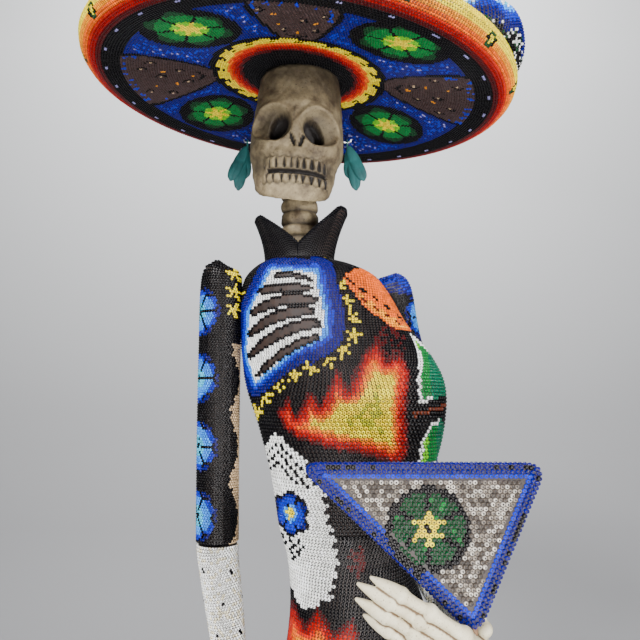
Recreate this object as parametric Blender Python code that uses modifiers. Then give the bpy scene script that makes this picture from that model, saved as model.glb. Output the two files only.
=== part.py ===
"""Beaded catrina figure: a papier-mache lady with a skull face, a wide hat and a hand fan.

Metres, +Z up, the figure faces -Y, and the origin is the centre of the base's bottom face.
"""

import math

import bmesh
import bpy
from mathutils import Matrix, Vector

GAP = 0.0003  # between two pieces that touch
WALL = 0.0035  # papier-mache shell
NECK_X = -0.030  # neck, head and hat axis
POST_X = 0.004  # wooden post inside the body

# Base
BASE_R = 0.132
BASE_H = 0.012
BLOCK_R = 0.032
BLOCK_H = 0.022
POST_R = 0.006

# Body sections: height, centre x, centre y, half width, half depth, turn in degrees
SKIRT = (
    (0.0130, 0.000, 0.000, 0.126, 0.116, 0),
    (0.060, 0.001, 0.000, 0.117, 0.107, 0),
    (0.140, 0.004, 0.000, 0.098, 0.089, 0),
    (0.220, 0.008, 0.000, 0.078, 0.071, 0),
    (0.300, 0.011, 0.000, 0.061, 0.056, 0),
    (0.360, 0.011, 0.000, 0.050, 0.046, 0),
    (0.400, 0.008, 0.000, 0.042, 0.040, 0),
    (0.430, 0.002, 0.001, 0.038, 0.037, -4),
    (0.4490, -0.001, 0.001, 0.0405, 0.037, -7),
)
BODICE = (
    (0.4502, -0.001, 0.001, 0.0407, 0.037, -7),
    (0.470, 0.001, 0.000, 0.046, 0.038, -9),
    (0.490, 0.004, -0.001, 0.0535, 0.040, -11),
    (0.515, 0.0035, -0.002, 0.0605, 0.042, -13),
    (0.540, -0.0005, -0.002, 0.0655, 0.042, -14),
    (0.560, -0.0065, -0.002, 0.0625, 0.041, -14),
    (0.580, -0.0145, -0.001, 0.0555, 0.038, -13),
    (0.600, -0.0200, 0.000, 0.0500, 0.034, -12),
    (0.612, -0.0230, 0.000, 0.0440, 0.031, -10),
    (0.619, -0.0260, 0.000, 0.0340, 0.027, -6),
    (0.623, -0.0290, 0.000, 0.0235, 0.0215, 0),
)
SIDES = 32
BAND_H = 0.010
BAND_T = 0.003

# Collar
COLLAR_R = 0.0215
COLLAR_FLARE = 0.013
COLLAR_FLARE_SKEW = 0.002  # more on the left side, less on the right
COLLAR_Z = 0.6235
COLLAR_FRONT_Z = 0.6300
COLLAR_BACK_Z = 0.652
COLLAR_TIP_Z = 0.6525
COLLAR_TIP_SKEW = 0.0040
COLLAR_TIP_DEG = 48  # from the front, on each side
COLLAR_TIP_SPREAD = 30  # degrees over which a tip flares
COLLAR_T = 0.0025
COLLAR_LEVELS = 6

# Neck
NECK_R = 0.0118
NECK_Z = 0.6125
NECK_TOP = 0.6577
PEG_R = 0.003
PEG_Z = 0.601
PEG_TOP = 0.690
BORE_R = PEG_R + GAP
SOCKET_R = 0.010
YOKE_Z = 0.590
YOKE_H = 0.010

# Skull sections: height, centre x from the axis, centre y, half width, half depth
SKULL = (
    (0.6583, -0.0045, -0.0115, 0.0205, 0.0185),
    (0.6630, -0.0044, -0.0100, 0.0255, 0.0220),
    (0.6720, -0.0040, -0.0080, 0.0278, 0.0250),
    (0.6820, -0.0035, -0.0060, 0.0288, 0.0275),
    (0.6930, -0.0027, -0.0030, 0.0315, 0.0315),
    (0.7030, -0.0020, -0.0010, 0.0322, 0.0338),
    (0.7220, -0.0012, 0.0005, 0.0308, 0.0345),
    (0.7450, -0.0003, 0.0015, 0.0286, 0.0330),
    (0.7660, 0.0000, 0.0020, 0.0270, 0.0303),
    (0.7745, 0.0000, 0.0020, 0.0240, 0.0270),
)
FACE_X = -0.0020  # the face's middle, from the axis
SOCKET_X = 0.0155
EYE_Z = 0.7055
EYE_R = 0.0110
MOUTH_Z = 0.6720
HOOK_X = 0.0323  # where the wire leaves the skull, from the face's middle
HOOK_Z = 0.7120
HOOK_Y = 0.0060
LOOP_R = 0.0027
LOOP_WIRE = 0.0006
LOOP_DROP = 0.0010  # loop centre below the pivot
HOOK_OUT = 0.0030  # from the skull to the pivot
# Leaves: distance out, length, lean in degrees
LEAVES = ((0.0100, 0.0280, 24), (0.0065, 0.0335, 8), (0.0028, 0.0240, -2))
LEAF_TOP = 0.0022  # below the pivot
LEAF_HALF = (0.0042, 0.0018)  # half width and half thickness
LEAF_STEP = 0.0016  # one leaf behind the next

# Hat: heights are above the plane of its underside round the opening
HAT_Z = 0.7545
HAT_ROLL = 5.3  # degrees down at its left side
HAT_TIP = 3.5  # degrees down at the front
BRIM_CONE_R = 0.055  # level inside this, falling outside
BRIM_FLAT_R = 0.128
BRIM_FALL = 0.013
BRIM_T = 0.005
# Rim, from the underside over the lip to the top: radius, height
RIM = (
    (0.1330, -0.0137),
    (0.1385, -0.0130),
    (0.1430, -0.0108),
    (0.1460, -0.0072),
    (0.1470, -0.0030),
    (0.1455, 0.0010),
    (0.1420, 0.0025),
    (0.1340, -0.0010),
)
OPENING_HALF = (0.0305, 0.0350)
OPENING_Y = 0.0017
CUP_R = 0.0375
CROWN_R = 0.060
CROWN_TOP = 0.076
HATBAND_H = 0.012
CUP_T = 0.0025
CUP_TOP = 0.0245  # underside of its flat top, above the hat's plane

# Arms: route points and half thicknesses
RIGHT_SLEEVE = (
    (-0.0806, 0, 0.6215),
    (-0.0816, 0, 0.6190),
    (-0.0829, 0, 0.6090),
    (-0.0833, 0, 0.560),
    (-0.0832, 0, 0.500),
    (-0.0824, 0, 0.4405),
)
RIGHT_SLEEVE_R = (0.0050, 0.0100, 0.0131, 0.0132, 0.0131, 0.0129)
RIGHT_FOREARM = ((-0.0823, 0, 0.4388), (-0.0817, 0, 0.430), (-0.0772, 0, 0.400), (-0.0725, 0, 0.3665))
RIGHT_FOREARM_R = (0.0126, 0.0122, 0.0112, 0.0095)
LEFT_SLEEVE = (
    (0.0325, 0.0200, 0.6185),
    (0.0335, 0.0205, 0.6150),
    (0.0355, 0.0215, 0.6060),
    (0.0405, 0.0285, 0.580),
    (0.0500, 0.0400, 0.545),
    (0.0550, 0.0480, 0.505),
    (0.0560, 0.0510, 0.465),
)
LEFT_SLEEVE_R = (0.0050, 0.0100, 0.0133, 0.0135, 0.0135, 0.0135, 0.0132)
LEFT_FOREARM = (
    (0.0561, 0.0513, 0.4636),
    (0.0566, 0.0512, 0.4430),
    (0.0590, 0.0380, 0.4190),
    (0.0645, 0.0000, 0.4040),
    (0.0655, -0.0480, 0.3990),
    (0.0652, -0.0665, 0.3992),
)
LEFT_FOREARM_R = (0.0126, 0.0122, 0.0118, 0.0110, 0.0100, 0.0095)
WIRE_R = 0.0016
WIRE_BORE_R = WIRE_R + 0.0009

# Fan: the corners in its own plane, and the plane's distance in front of the axis
FAN_Y = -0.1065
FAN_T = 0.006
FAN_CORNERS = ((-0.0265, 0.4990), (0.0950, 0.4990), (0.0585, 0.4190))
FAN_CORNER_R = 0.007
FAN_GRIP = (0.0577, 0.4192, 0.4228)  # its x, low end and high end
FAN_GRIP_R = 0.002

# Hands: each finger is a route with its half thicknesses
FINGER_R = (0.0042, 0.0040, 0.0036, 0.0024)
PALM_R = (0.0078, 0.0092, 0.0075)
THUMB_R = (0.0050, 0.0042, 0.0030)
FINGER_BEND = (0, -0.0025, 0.001)  # how far a finger's middle joint stands out
THUMB_BEND = (0.003, -0.004, 0)
RIGHT_PALM = ((-0.0717, -0.0005, 0.357), (-0.0702, -0.002, 0.340), (-0.0685, -0.004, 0.322))
RIGHT_FINGER_TIPS = (
    (-0.0700, -0.0210, 0.2905),
    (-0.0680, -0.0140, 0.2855),
    (-0.0665, -0.0060, 0.2865),
    (-0.0655, 0.0020, 0.2920),
)
RIGHT_THUMB_TIP = (-0.0665, -0.0230, 0.3150)
RIGHT_SPREAD = (0.0005, 0.0055, 0.0)  # from one finger to the next
RIGHT_WIRE_END = (-0.0700, 0, 0.34)
LEFT_PALM = ((0.0662, -0.0762, 0.3998), (0.0600, -0.0930, 0.4035), (0.0450, -0.1140, 0.4150))
LEFT_FINGER_TIPS = (
    (0.0105, -0.1165, 0.4465),
    (0.0045, -0.1160, 0.4435),
    (0.0035, -0.1150, 0.4365),
    (0.0070, -0.1120, 0.4285),
)
LEFT_THUMB_TIP = (0.0630, -0.0955, 0.4330)
LEFT_SPREAD = (-0.0040, 0.0010, -0.0045)
LEFT_WIRE_END = (0.069, -0.10, 0.40)
HAND_VOXEL = 0.0012
EARRING_VOXEL = 0.0005
THIN = 0.12  # share of faces kept on modelled pieces

COLOURS = {
    "wood": ((0.35, 0.22, 0.12, 1), 0.7, 0.0),
    "board": ((0.30, 0.22, 0.15, 1), 0.8, 0.0),
    "beads": ((0.02, 0.02, 0.025, 1), 0.25, 0.0),
    "blue_beads": ((0.02, 0.05, 0.45, 1), 0.25, 0.0),
    "red_beads": ((0.60, 0.06, 0.02, 1), 0.25, 0.0),
    "green_beads": ((0.02, 0.16, 0.07, 1), 0.25, 0.0),
    "white_beads": ((0.80, 0.78, 0.70, 1), 0.3, 0.0),
    "pearl_beads": ((0.45, 0.42, 0.37, 1), 0.3, 0.3),
    "bone": ((0.55, 0.46, 0.33, 1), 0.75, 0.0),
    "pale_bone": ((0.80, 0.76, 0.62, 1), 0.6, 0.0),
    "teal": ((0.03, 0.28, 0.26, 1), 0.6, 0.0),
    "steel": ((0.60, 0.60, 0.60, 1), 0.3, 1.0),
}

for old in list(bpy.data.objects):
    bpy.data.objects.remove(old)

parts = bpy.data.collections.new("catrina_figure")
cutters = bpy.data.collections.new("cutters")
for collection in (parts, cutters):
    bpy.context.scene.collection.children.link(collection)
cutters.hide_render = True


def material(name):
    """One plain material for each finish."""
    mat = bpy.data.materials.get(name)
    if mat is None:
        colour, roughness, metallic = COLOURS[name]
        mat = bpy.data.materials.new(name)
        mat.use_nodes = True
        shader = mat.node_tree.nodes["Principled BSDF"]
        shader.inputs["Base Color"].default_value = colour
        shader.inputs["Roughness"].default_value = roughness
        shader.inputs["Metallic"].default_value = metallic
        mat.diffuse_color = colour
    return mat


def add_mesh(name, bm, finish, collection=parts):
    """A named object from a bmesh. An open surface keeps its own face directions."""
    if all(edge.is_manifold for edge in bm.edges):
        bmesh.ops.recalc_face_normals(bm, faces=bm.faces)
    mesh = bpy.data.meshes.new(name)
    bm.to_mesh(mesh)
    bm.free()
    obj = bpy.data.objects.new(name, mesh)
    collection.objects.link(obj)
    if finish:
        mesh.materials.append(material(finish))
    else:
        obj.display_type = "WIRE"
        obj.hide_render = True
    return obj


def cylinder(name, radius, z_low, z_high, centre, finish, sides=32, collection=parts):
    """An upright cylinder."""
    bm = bmesh.new()
    bmesh.ops.create_cone(
        bm, cap_ends=True, segments=sides, radius1=radius, radius2=radius, depth=z_high - z_low
    )
    obj = add_mesh(name, bm, finish, collection)
    obj.location = (centre[0], centre[1], (z_low + z_high) / 2)
    return obj


def turned(name, profile, centre, finish, steps=48):
    """A closed profile of (radius, height) points, turned about the vertical line through centre."""
    pairs = zip(profile, profile[1:] + profile[:1])
    if sum(r1 * z2 - r2 * z1 for (r1, z1), (r2, z2) in pairs) > 0:
        profile = profile[::-1]  # the outer side runs downwards
    bm = bmesh.new()
    ring = [bm.verts.new((radius, 0, z)) for radius, z in profile]
    for first, second in zip(ring, ring[1:] + ring[:1]):
        bm.edges.new((first, second))
    mesh = bpy.data.meshes.new(name)
    bm.to_mesh(mesh)
    bm.free()
    obj = bpy.data.objects.new(name, mesh)
    parts.objects.link(obj)
    mesh.materials.append(material(finish))
    obj.location = (centre[0], centre[1], 0)
    screw = obj.modifiers.new("turn", "SCREW")
    screw.steps = steps
    screw.render_steps = steps
    screw.use_merge_vertices = True
    screw.merge_threshold = 0.00005
    return obj


def oval(z, x, y, half_width, half_depth, degrees, count=SIDES):
    """The points of one level oval section."""
    turn = math.radians(degrees)
    points = []
    for i in range(count):
        angle = 2 * math.pi * i / count
        across = half_width * math.cos(angle)
        along = half_depth * math.sin(angle)
        points.append(
            Vector(
                (
                    x + across * math.cos(turn) - along * math.sin(turn),
                    y + across * math.sin(turn) + along * math.cos(turn),
                    z,
                )
            )
        )
    return points


def loft(bm, rings, capped):
    """Quads between successive rings of points, with end caps if capped."""
    rows = [[bm.verts.new(p) for p in ring] for ring in rings]
    for low, high in zip(rows, rows[1:]):
        for i in range(len(low)):
            j = (i + 1) % len(low)
            bm.faces.new((low[i], low[j], high[j], high[i]))
    if capped:
        bm.faces.new(rows[0])
        bm.faces.new(rows[-1])


def between(sections, pieces=2):
    """The sections with smooth ones added between each two, by Catmull-Rom interpolation."""
    smooth = []
    for i in range(len(sections) - 1):
        p0 = sections[max(i - 1, 0)]
        p1, p2 = sections[i], sections[i + 1]
        p3 = sections[min(i + 2, len(sections) - 1)]
        for step in range(pieces):
            t = step / pieces
            smooth.append(
                tuple(
                    0.5
                    * (
                        2 * b
                        + (c - a) * t
                        + (2 * a - 5 * b + 4 * c - d) * t * t
                        + (3 * b - a - 3 * c + d) * t**3
                    )
                    for a, b, c, d in zip(p0, p1, p2, p3)
                )
            )
    smooth.append(tuple(sections[-1]))
    return smooth


def body_shell(name, sections, finish):
    """A hollow papier-mache tube whose outer face follows the sections, open at both ends."""
    bm = bmesh.new()
    loft(bm, [oval(*section) for section in between(sections)], capped=False)
    obj = add_mesh(name, bm, finish)
    shell = obj.modifiers.new("wall", "SOLIDIFY")
    shell.thickness = WALL
    shell.offset = -1
    shell.use_even_offset = True
    return obj


def tube_mesh(name, route, radii, finish, collection=parts, sides=4):
    """A closed mesh tube along a smooth route, with its own half thickness at each point."""
    rows = between([tuple(p) + (r,) for p, r in zip(route, radii)], 4)
    curve = bpy.data.curves.new(name, "CURVE")
    curve.dimensions = "3D"
    curve.bevel_depth = 1
    curve.bevel_resolution = sides
    curve.use_fill_caps = True
    spline = curve.splines.new("POLY")
    spline.points.add(len(rows) - 1)
    for point, row in zip(spline.points, rows):
        point.co = (row[0], row[1], row[2], 1)
        point.radius = row[3]
    made = bpy.data.objects.new(name + "_curve", curve)
    parts.objects.link(made)
    graph = bpy.context.evaluated_depsgraph_get()
    mesh = bpy.data.meshes.new_from_object(made.evaluated_get(graph))
    bpy.data.objects.remove(made)
    bm = bmesh.new()
    bm.from_mesh(mesh)
    bmesh.ops.remove_doubles(bm, verts=bm.verts, dist=0.00002)
    return add_mesh(name, bm, finish, collection)


def cut(obj, cutter):
    """Takes the cutter's shape away from obj."""
    boolean = obj.modifiers.new(cutter.name, "BOOLEAN")
    boolean.operation = "DIFFERENCE"
    boolean.object = cutter


def unit_sphere():
    """The sphere that every ball is a stretched copy of."""
    bm = bmesh.new()
    bmesh.ops.create_uvsphere(bm, u_segments=20, v_segments=12, radius=1)
    mesh = bpy.data.meshes.new("unit_sphere")
    bm.to_mesh(mesh)
    bm.free()
    return mesh


def ball(bm, centre, size, turn=Matrix.Identity(4)):
    """An ellipsoid added to a bmesh."""
    copy = SPHERE.copy()
    copy.transform(Matrix.Translation(centre) @ turn @ Matrix.Diagonal((*size, 1)))
    bm.from_mesh(copy)
    bpy.data.meshes.remove(copy)


def fused(name, bm, finish, voxel):
    """One closed skin around the overlapping bodies of a bmesh."""
    obj = add_mesh(name, bm, finish)
    skin = obj.modifiers.new("skin", "REMESH")
    skin.mode = "VOXEL"
    skin.voxel_size = voxel
    return obj


def chain(bm, route, radii):
    """Adds overlapping balls along a smooth route."""
    for row in between([tuple(p) + (r,) for p, r in zip(route, radii)], 5):
        ball(bm, row[:3], (row[3],) * 3)


SPHERE = unit_sphere()


# Base, post and the wood inside the body
def make_base():
    turned(
        "base_disc",
        (
            (0.0, 0.0),
            (BASE_R - 0.002, 0.0),
            (BASE_R, 0.002),
            (BASE_R, BASE_H - 0.003),
            (BASE_R - 0.003, BASE_H),
            (0.0, BASE_H),
        ),
        (0, 0),
        "wood",
        64,
    )
    block = cylinder("post_block", BLOCK_R, BASE_H + GAP, BASE_H + BLOCK_H, (POST_X, 0), "wood")
    hole = cylinder(
        "post_hole", POST_R + GAP, BASE_H + 0.002, BASE_H + BLOCK_H + 0.01, (POST_X, 0), None, 32, cutters
    )
    cut(block, hole)
    cylinder("center_post", POST_R, BASE_H + 0.002 + GAP, YOKE_Z - GAP, (POST_X, 0), "wood")


def make_yoke():
    """The wooden shoulder bar, and the turned socket that takes the neck peg."""
    bm = bmesh.new()
    size = (0.058, 0.016, YOKE_H)
    place = Matrix.Translation((-0.0185, 0, YOKE_Z + YOKE_H / 2)) @ Matrix.Diagonal((*size, 1))
    bmesh.ops.create_cube(bm, size=1, matrix=place)
    bar = add_mesh("shoulder_yoke", bm, "wood")
    bevel = bar.modifiers.new("edges", "BEVEL")
    bevel.width = 0.001
    low = YOKE_Z + YOKE_H + GAP
    turned(
        "neck_socket",
        ((BORE_R, low), (SOCKET_R, low), (SOCKET_R, NECK_Z - GAP), (BORE_R, NECK_Z - GAP)),
        (NECK_X, 0),
        "wood",
        32,
    )


def make_skirt():
    body_shell("skirt_shell", SKIRT, "beads")
    body_shell("bodice_shell", BODICE, "red_beads")
    bm = bmesh.new()
    low, high = SKIRT[0], SKIRT[1]
    rings = []
    for z in (BASE_H + GAP, BASE_H + GAP + BAND_H):
        share = (z - low[0]) / (high[0] - low[0])
        grow = GAP + 0.0003
        wide = low[3] + (high[3] - low[3]) * share + grow
        deep = low[4] + (high[4] - low[4]) * share + grow
        rings.append(oval(z, low[1], low[2], wide, deep, 0))
    loft(bm, rings, capped=False)
    band = add_mesh("hem_band", bm, "blue_beads")
    shell = band.modifiers.new("wall", "SOLIDIFY")
    shell.thickness = BAND_T
    shell.offset = 1


def collar_height(degrees):
    """Top height of the collar at an angle from the front."""
    away = abs((degrees + 180) % 360 - 180)
    tip = COLLAR_TIP_Z + COLLAR_TIP_SKEW * math.sin(math.radians(degrees))
    if away < COLLAR_TIP_DEG:
        return COLLAR_FRONT_Z + (tip - COLLAR_FRONT_Z) * away / COLLAR_TIP_DEG
    share = (away - COLLAR_TIP_DEG) / (180 - COLLAR_TIP_DEG)
    return tip + (COLLAR_BACK_Z - tip) * math.sin(share * math.pi / 2)


def collar_radius(degrees, share):
    """Mid radius of the collar at an angle and a share of its height: it flares, most at its points."""
    away = abs((degrees + 180) % 360 - 180)
    point = math.exp(-(((away - COLLAR_TIP_DEG) / COLLAR_TIP_SPREAD) ** 2))
    flare = COLLAR_FLARE + COLLAR_FLARE_SKEW * math.sin(math.radians(degrees))
    return COLLAR_R + flare * share**1.6 * (0.45 + 0.55 * point)


def make_collar():
    bm = bmesh.new()
    rings = []
    for level in range(COLLAR_LEVELS):
        share = level / (COLLAR_LEVELS - 1)
        ring = []
        for i in range(SIDES):
            degrees = 360 * i / SIDES
            angle = math.radians(degrees - 90)
            radius = collar_radius(degrees, share)
            z = COLLAR_Z + (collar_height(degrees) - COLLAR_Z) * share
            ring.append(Vector((NECK_X + radius * math.cos(angle), radius * math.sin(angle), z)))
        rings.append(ring)
    loft(bm, rings, capped=False)
    collar = add_mesh("collar", bm, "beads")
    shell = collar.modifiers.new("wall", "SOLIDIFY")
    shell.thickness = COLLAR_T
    shell.offset = 0


# Head
def make_neck():
    """The peg, and the neck with its rings like vertebrae."""
    turned(
        "neck_peg",
        ((0.0, PEG_Z), (PEG_R, PEG_Z), (PEG_R, PEG_TOP), (0.0, PEG_TOP)),
        (NECK_X, 0),
        "wood",
        24,
    )
    rings = 5
    step = (NECK_TOP - NECK_Z) / rings
    profile = [(BORE_R, NECK_Z)]
    for ring in range(rings):
        low = NECK_Z + ring * step
        profile += [(NECK_R * 0.86, low), (NECK_R, low + step * 0.3), (NECK_R, low + step * 0.75)]
    profile += [(NECK_R * 0.88, NECK_TOP), (BORE_R, NECK_TOP)]
    turned("neck_vertebrae", profile, (NECK_X, 0), "bone", 28)


def skull_section(z, x, y, half_width, half_depth, count=36):
    """A squarish oval, like a skull seen from above."""
    points = []
    power = 0.86
    for i in range(count):
        angle = 2 * math.pi * i / count
        c, s = math.cos(angle), math.sin(angle)
        points.append(
            Vector(
                (
                    NECK_X + x + half_width * math.copysign(abs(c) ** power, c),
                    y + half_depth * math.copysign(abs(s) ** power, s),
                    z,
                )
            )
        )
    return points


def make_skull():
    bm = bmesh.new()
    loft(bm, [skull_section(*section) for section in between(SKULL)], capped=True)
    skull = add_mesh("skull", bm, "bone")
    hollows = bmesh.new()
    for side in (-1, 1):
        ball(hollows, (NECK_X + FACE_X + side * SOCKET_X, -0.0310, EYE_Z), (EYE_R, 0.0090, EYE_R))
    cut(skull, add_mesh("eye_hollows", hollows, None, cutters))
    slot = bmesh.new()
    place = Matrix.Translation((NECK_X + FACE_X, -0.033, MOUTH_Z)) @ Matrix.Diagonal((0.036, 0.010, 0.0030, 1))
    bmesh.ops.create_cube(slot, size=1, matrix=place)
    cut(skull, add_mesh("mouth_slot", slot, None, cutters))
    bore = cylinder(
        "skull_bore", BORE_R, SKULL[0][0] - 0.004, PEG_TOP + GAP, (NECK_X, 0), None, 24, cutters
    )
    cut(skull, bore)


def make_earring(side, label):
    """A wire hook in the side of the skull, and the three-leaf earring that hangs on it."""
    root = NECK_X + FACE_X + side * HOOK_X
    hook = tube_mesh(
        "earring_hook_" + label,
        (
            (root, HOOK_Y, HOOK_Z),
            (root + side * HOOK_OUT, HOOK_Y, HOOK_Z),
            (root + side * 0.0048, HOOK_Y, HOOK_Z + 0.0006),
            (root + side * 0.0055, HOOK_Y, HOOK_Z + 0.0022),
        ),
        (0.0005,) * 4,
        "steel",
        sides=2,
    )
    mesh = hook.data
    mesh.transform(Matrix.Translation((side * GAP, 0, 0)))
    empty = bpy.data.objects.new("earring_pivot_" + label, None)
    empty.location = (root + side * HOOK_OUT, HOOK_Y, HOOK_Z)
    parts.objects.link(empty)
    loop = bmesh.new()
    segments, sections = 20, 8
    rings = []
    for i in range(segments):
        angle = 2 * math.pi * i / segments
        spoke = Vector((0, math.sin(angle), math.cos(angle)))
        rings.append(
            [
                spoke * (LOOP_R + LOOP_WIRE * math.cos(2 * math.pi * j / sections))
                + Vector((LOOP_WIRE * math.sin(2 * math.pi * j / sections), 0, -LOOP_DROP))
                for j in range(sections)
            ]
        )
    loft(loop, rings + rings[:1], capped=False)
    bmesh.ops.remove_doubles(loop, verts=loop.verts, dist=0.00001)
    for index, (out, length, lean) in enumerate(LEAVES):
        turn = Matrix.Rotation(math.radians(-side * lean), 4, "Y")
        centre = (side * out * 0.62, LEAF_STEP * (index - 1), -LEAF_TOP - length / 2)
        ball(loop, centre, (*LEAF_HALF, length / 2), turn)
    earring = fused("earring_" + label, loop, "teal", EARRING_VOXEL)
    earring.parent = empty
    thin = earring.modifiers.new("thin", "DECIMATE")
    thin.ratio = THIN


# Hat
def hat_tilt():
    """The way the hat sits on the head: its own frame stands at the middle of its opening."""
    roll = Matrix.Rotation(math.radians(HAT_ROLL), 4, "Y")
    tip = Matrix.Rotation(math.radians(HAT_TIP), 4, "X")
    return Matrix.Translation((NECK_X, 0, HAT_Z)) @ roll @ tip


def hat_ring(name, profile, finish, steps=48):
    """A turned piece of the hat, placed with the hat."""
    obj = turned(name, profile, (0, 0), finish, steps)
    obj.matrix_world = hat_tilt()
    return obj


def make_hat():
    profile = [(OPENING_HALF[0] - 0.008, 0), (BRIM_CONE_R, 0), (BRIM_FLAT_R, -BRIM_FALL)]
    profile += list(RIM)
    profile += [
        (BRIM_FLAT_R - 0.002, BRIM_T - BRIM_FALL),
        (CROWN_R + 0.007, BRIM_T),
        (OPENING_HALF[0] - 0.008, BRIM_T),
    ]
    brim = hat_ring("hat_brim", profile, "green_beads", 72)
    opening = cylinder("hat_opening", 1, -0.03, 0.03, (0, 0), None, 40, cutters)
    opening.data.transform(Matrix.Diagonal((*OPENING_HALF, 1, 1)))
    opening.location = (NECK_X, OPENING_Y, HAT_Z)
    cut(brim, opening)
    low = BRIM_T + GAP
    outer = [(CROWN_R, low)]
    inner = [(CROWN_R - WALL, low)]
    rise = CROWN_TOP - low
    for step in range(1, 9):
        angle = math.pi / 2 * step / 8
        outer.append((max(CROWN_R * math.cos(angle) ** 0.6, 0.0), low + rise * math.sin(angle)))
        inner.append(
            (max((CROWN_R - WALL) * math.cos(angle) ** 0.6, 0.0), low + (rise - WALL) * math.sin(angle))
        )
    hat_ring("hat_crown", outer + inner[::-1], "blue_beads")
    hat_ring(
        "hat_band",
        (
            (CROWN_R + GAP, low),
            (CROWN_R + 0.0045, low),
            (CROWN_R + 0.0040, low + HATBAND_H),
            (CROWN_R + GAP, low + HATBAND_H),
        ),
        "red_beads",
    )
    hat_ring(
        "hat_cup",
        (
            (CUP_R, low),
            (CUP_R + CUP_T, low),
            (CUP_R - 0.001, CUP_TOP + CUP_T),
            (0.0, CUP_TOP + CUP_T),
            (0.0, CUP_TOP),
            (CUP_R - 0.003, CUP_TOP),
        ),
        "board",
    )


# Plume: x and y from the hat's middle, height over its plane, half height
PLUME = (
    (0.066, -0.034, 0.0130, 0.0040),
    (0.098, -0.066, 0.0165, 0.0110),
    (0.122, -0.062, 0.0190, 0.0140),
    (0.137, -0.034, 0.0195, 0.0145),
    (0.140, 0.000, 0.0185, 0.0120),
    (0.134, 0.034, 0.0130, 0.0040),
)
PLUME_FLAT = 0.62  # thickness to height


def make_plume():
    """The feather that stands on the brim's left side, along the lip."""
    bm = bmesh.new()
    rows = between(PLUME, 4)
    rings = []
    for i, row in enumerate(rows):
        here = Vector(row[:3])
        ahead = Vector(rows[min(i + 1, len(rows) - 1)][:3]) - Vector(rows[max(i - 1, 0)][:3])
        side = ahead.cross(Vector((0, 0, 1))).normalized()
        up = side.cross(ahead).normalized()
        ring = []
        for j in range(24):
            angle = 2 * math.pi * j / 24
            ring.append(
                here + side * row[3] * PLUME_FLAT * math.cos(angle) + up * row[3] * math.sin(angle)
            )
        rings.append(ring)
    loft(bm, rings, capped=True)
    plume = add_mesh("hat_plume", bm, "blue_beads")
    plume.data.transform(hat_tilt())


# Arms, hands and fan
def make_arm(label, sleeve, sleeve_r, forearm, forearm_r, hand_end):
    """A sleeve, a forearm and the wire that runs through both, up to the shoulder's rounded end."""
    route = list(sleeve[2:]) + list(forearm[1:])
    shoulder = Vector(route[0]) + (Vector(route[0]) - Vector(route[1])).normalized() * 0.002
    bore_route = [tuple(shoulder)] + route + [hand_end]
    bore = tube_mesh(label + "_arm_bore", bore_route, (WIRE_BORE_R,) * len(bore_route), None, cutters, 2)
    for piece, points, radii in (("sleeve", sleeve, sleeve_r), ("forearm", forearm, forearm_r)):
        finish = "beads" if piece == "sleeve" else "white_beads"
        tube = tube_mesh(label + "_" + piece, points, radii, finish, sides=6)
        cut(tube, bore)
    tube_mesh(label + "_arm_wire", route, (WIRE_R,) * len(route), "steel", sides=2)


def make_hand(label, palm, tips, thumb, spread):
    """A skeleton hand: wrist, palm, four fingers and a thumb, as one modelled piece."""
    bm = bmesh.new()
    chain(bm, palm, PALM_R)
    knuckle = Vector(palm[-1])
    for index, tip in enumerate(tips):
        root = knuckle + Vector(spread) * (index - 1.5)
        middle = root.lerp(Vector(tip), 0.5) + Vector(FINGER_BEND)
        chain(bm, (tuple(palm[1]), tuple(root), tuple(middle), tip), FINGER_R)
    wrist = Vector(palm[1])
    bend = wrist.lerp(Vector(thumb), 0.5) + Vector(THUMB_BEND)
    chain(bm, (tuple(wrist), tuple(bend), thumb), THUMB_R)
    hand = fused(label + "_hand", bm, "pale_bone", HAND_VOXEL)
    thin = hand.modifiers.new("thin", "DECIMATE")
    thin.ratio = THIN
    return hand


def fan_outline():
    """The fan's triangle with rounded corners, as points in its plane."""
    corners = [Vector(c) for c in FAN_CORNERS]
    outline = []
    for i, corner in enumerate(corners):
        before = (corners[i - 1] - corner).normalized()
        after = (corners[(i + 1) % 3] - corner).normalized()
        for step in range(7):
            t = step / 6
            start = corner + before * FAN_CORNER_R * 1.5
            end = corner + after * FAN_CORNER_R * 1.5
            outline.append(start * (1 - t) ** 2 + corner * 2 * t * (1 - t) + end * t * t)
    return outline


def make_fan():
    curve = bpy.data.curves.new("fan_panel", "CURVE")
    curve.dimensions = "2D"
    curve.fill_mode = "BOTH"
    curve.extrude = FAN_T / 2
    points = fan_outline()
    spline = curve.splines.new("POLY")
    spline.points.add(len(points) - 1)
    spline.use_cyclic_u = True
    for point, (x, z) in zip(spline.points, points):
        point.co = (x, z, 0, 1)
    fan = bpy.data.objects.new("fan_panel", curve)
    fan.rotation_euler = (math.radians(90), 0, 0)
    fan.location = (0, FAN_Y, 0)
    parts.objects.link(fan)
    curve.materials.append(material("pearl_beads"))
    x, low, high = FAN_GRIP
    cylinder("fan_grip", FAN_GRIP_R, low, high, (x, FAN_Y), "wood", 16)


make_base()
make_yoke()
make_skirt()
make_collar()
make_neck()
make_skull()
make_earring(-1, "right")
make_earring(1, "left")
make_hat()
make_plume()
make_arm("right", RIGHT_SLEEVE, RIGHT_SLEEVE_R, RIGHT_FOREARM, RIGHT_FOREARM_R, RIGHT_WIRE_END)
make_arm("left", LEFT_SLEEVE, LEFT_SLEEVE_R, LEFT_FOREARM, LEFT_FOREARM_R, LEFT_WIRE_END)
make_hand("right", RIGHT_PALM, RIGHT_FINGER_TIPS, RIGHT_THUMB_TIP, RIGHT_SPREAD)
make_hand("left", LEFT_PALM, LEFT_FINGER_TIPS, LEFT_THUMB_TIP, LEFT_SPREAD)
make_fan()
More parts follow.
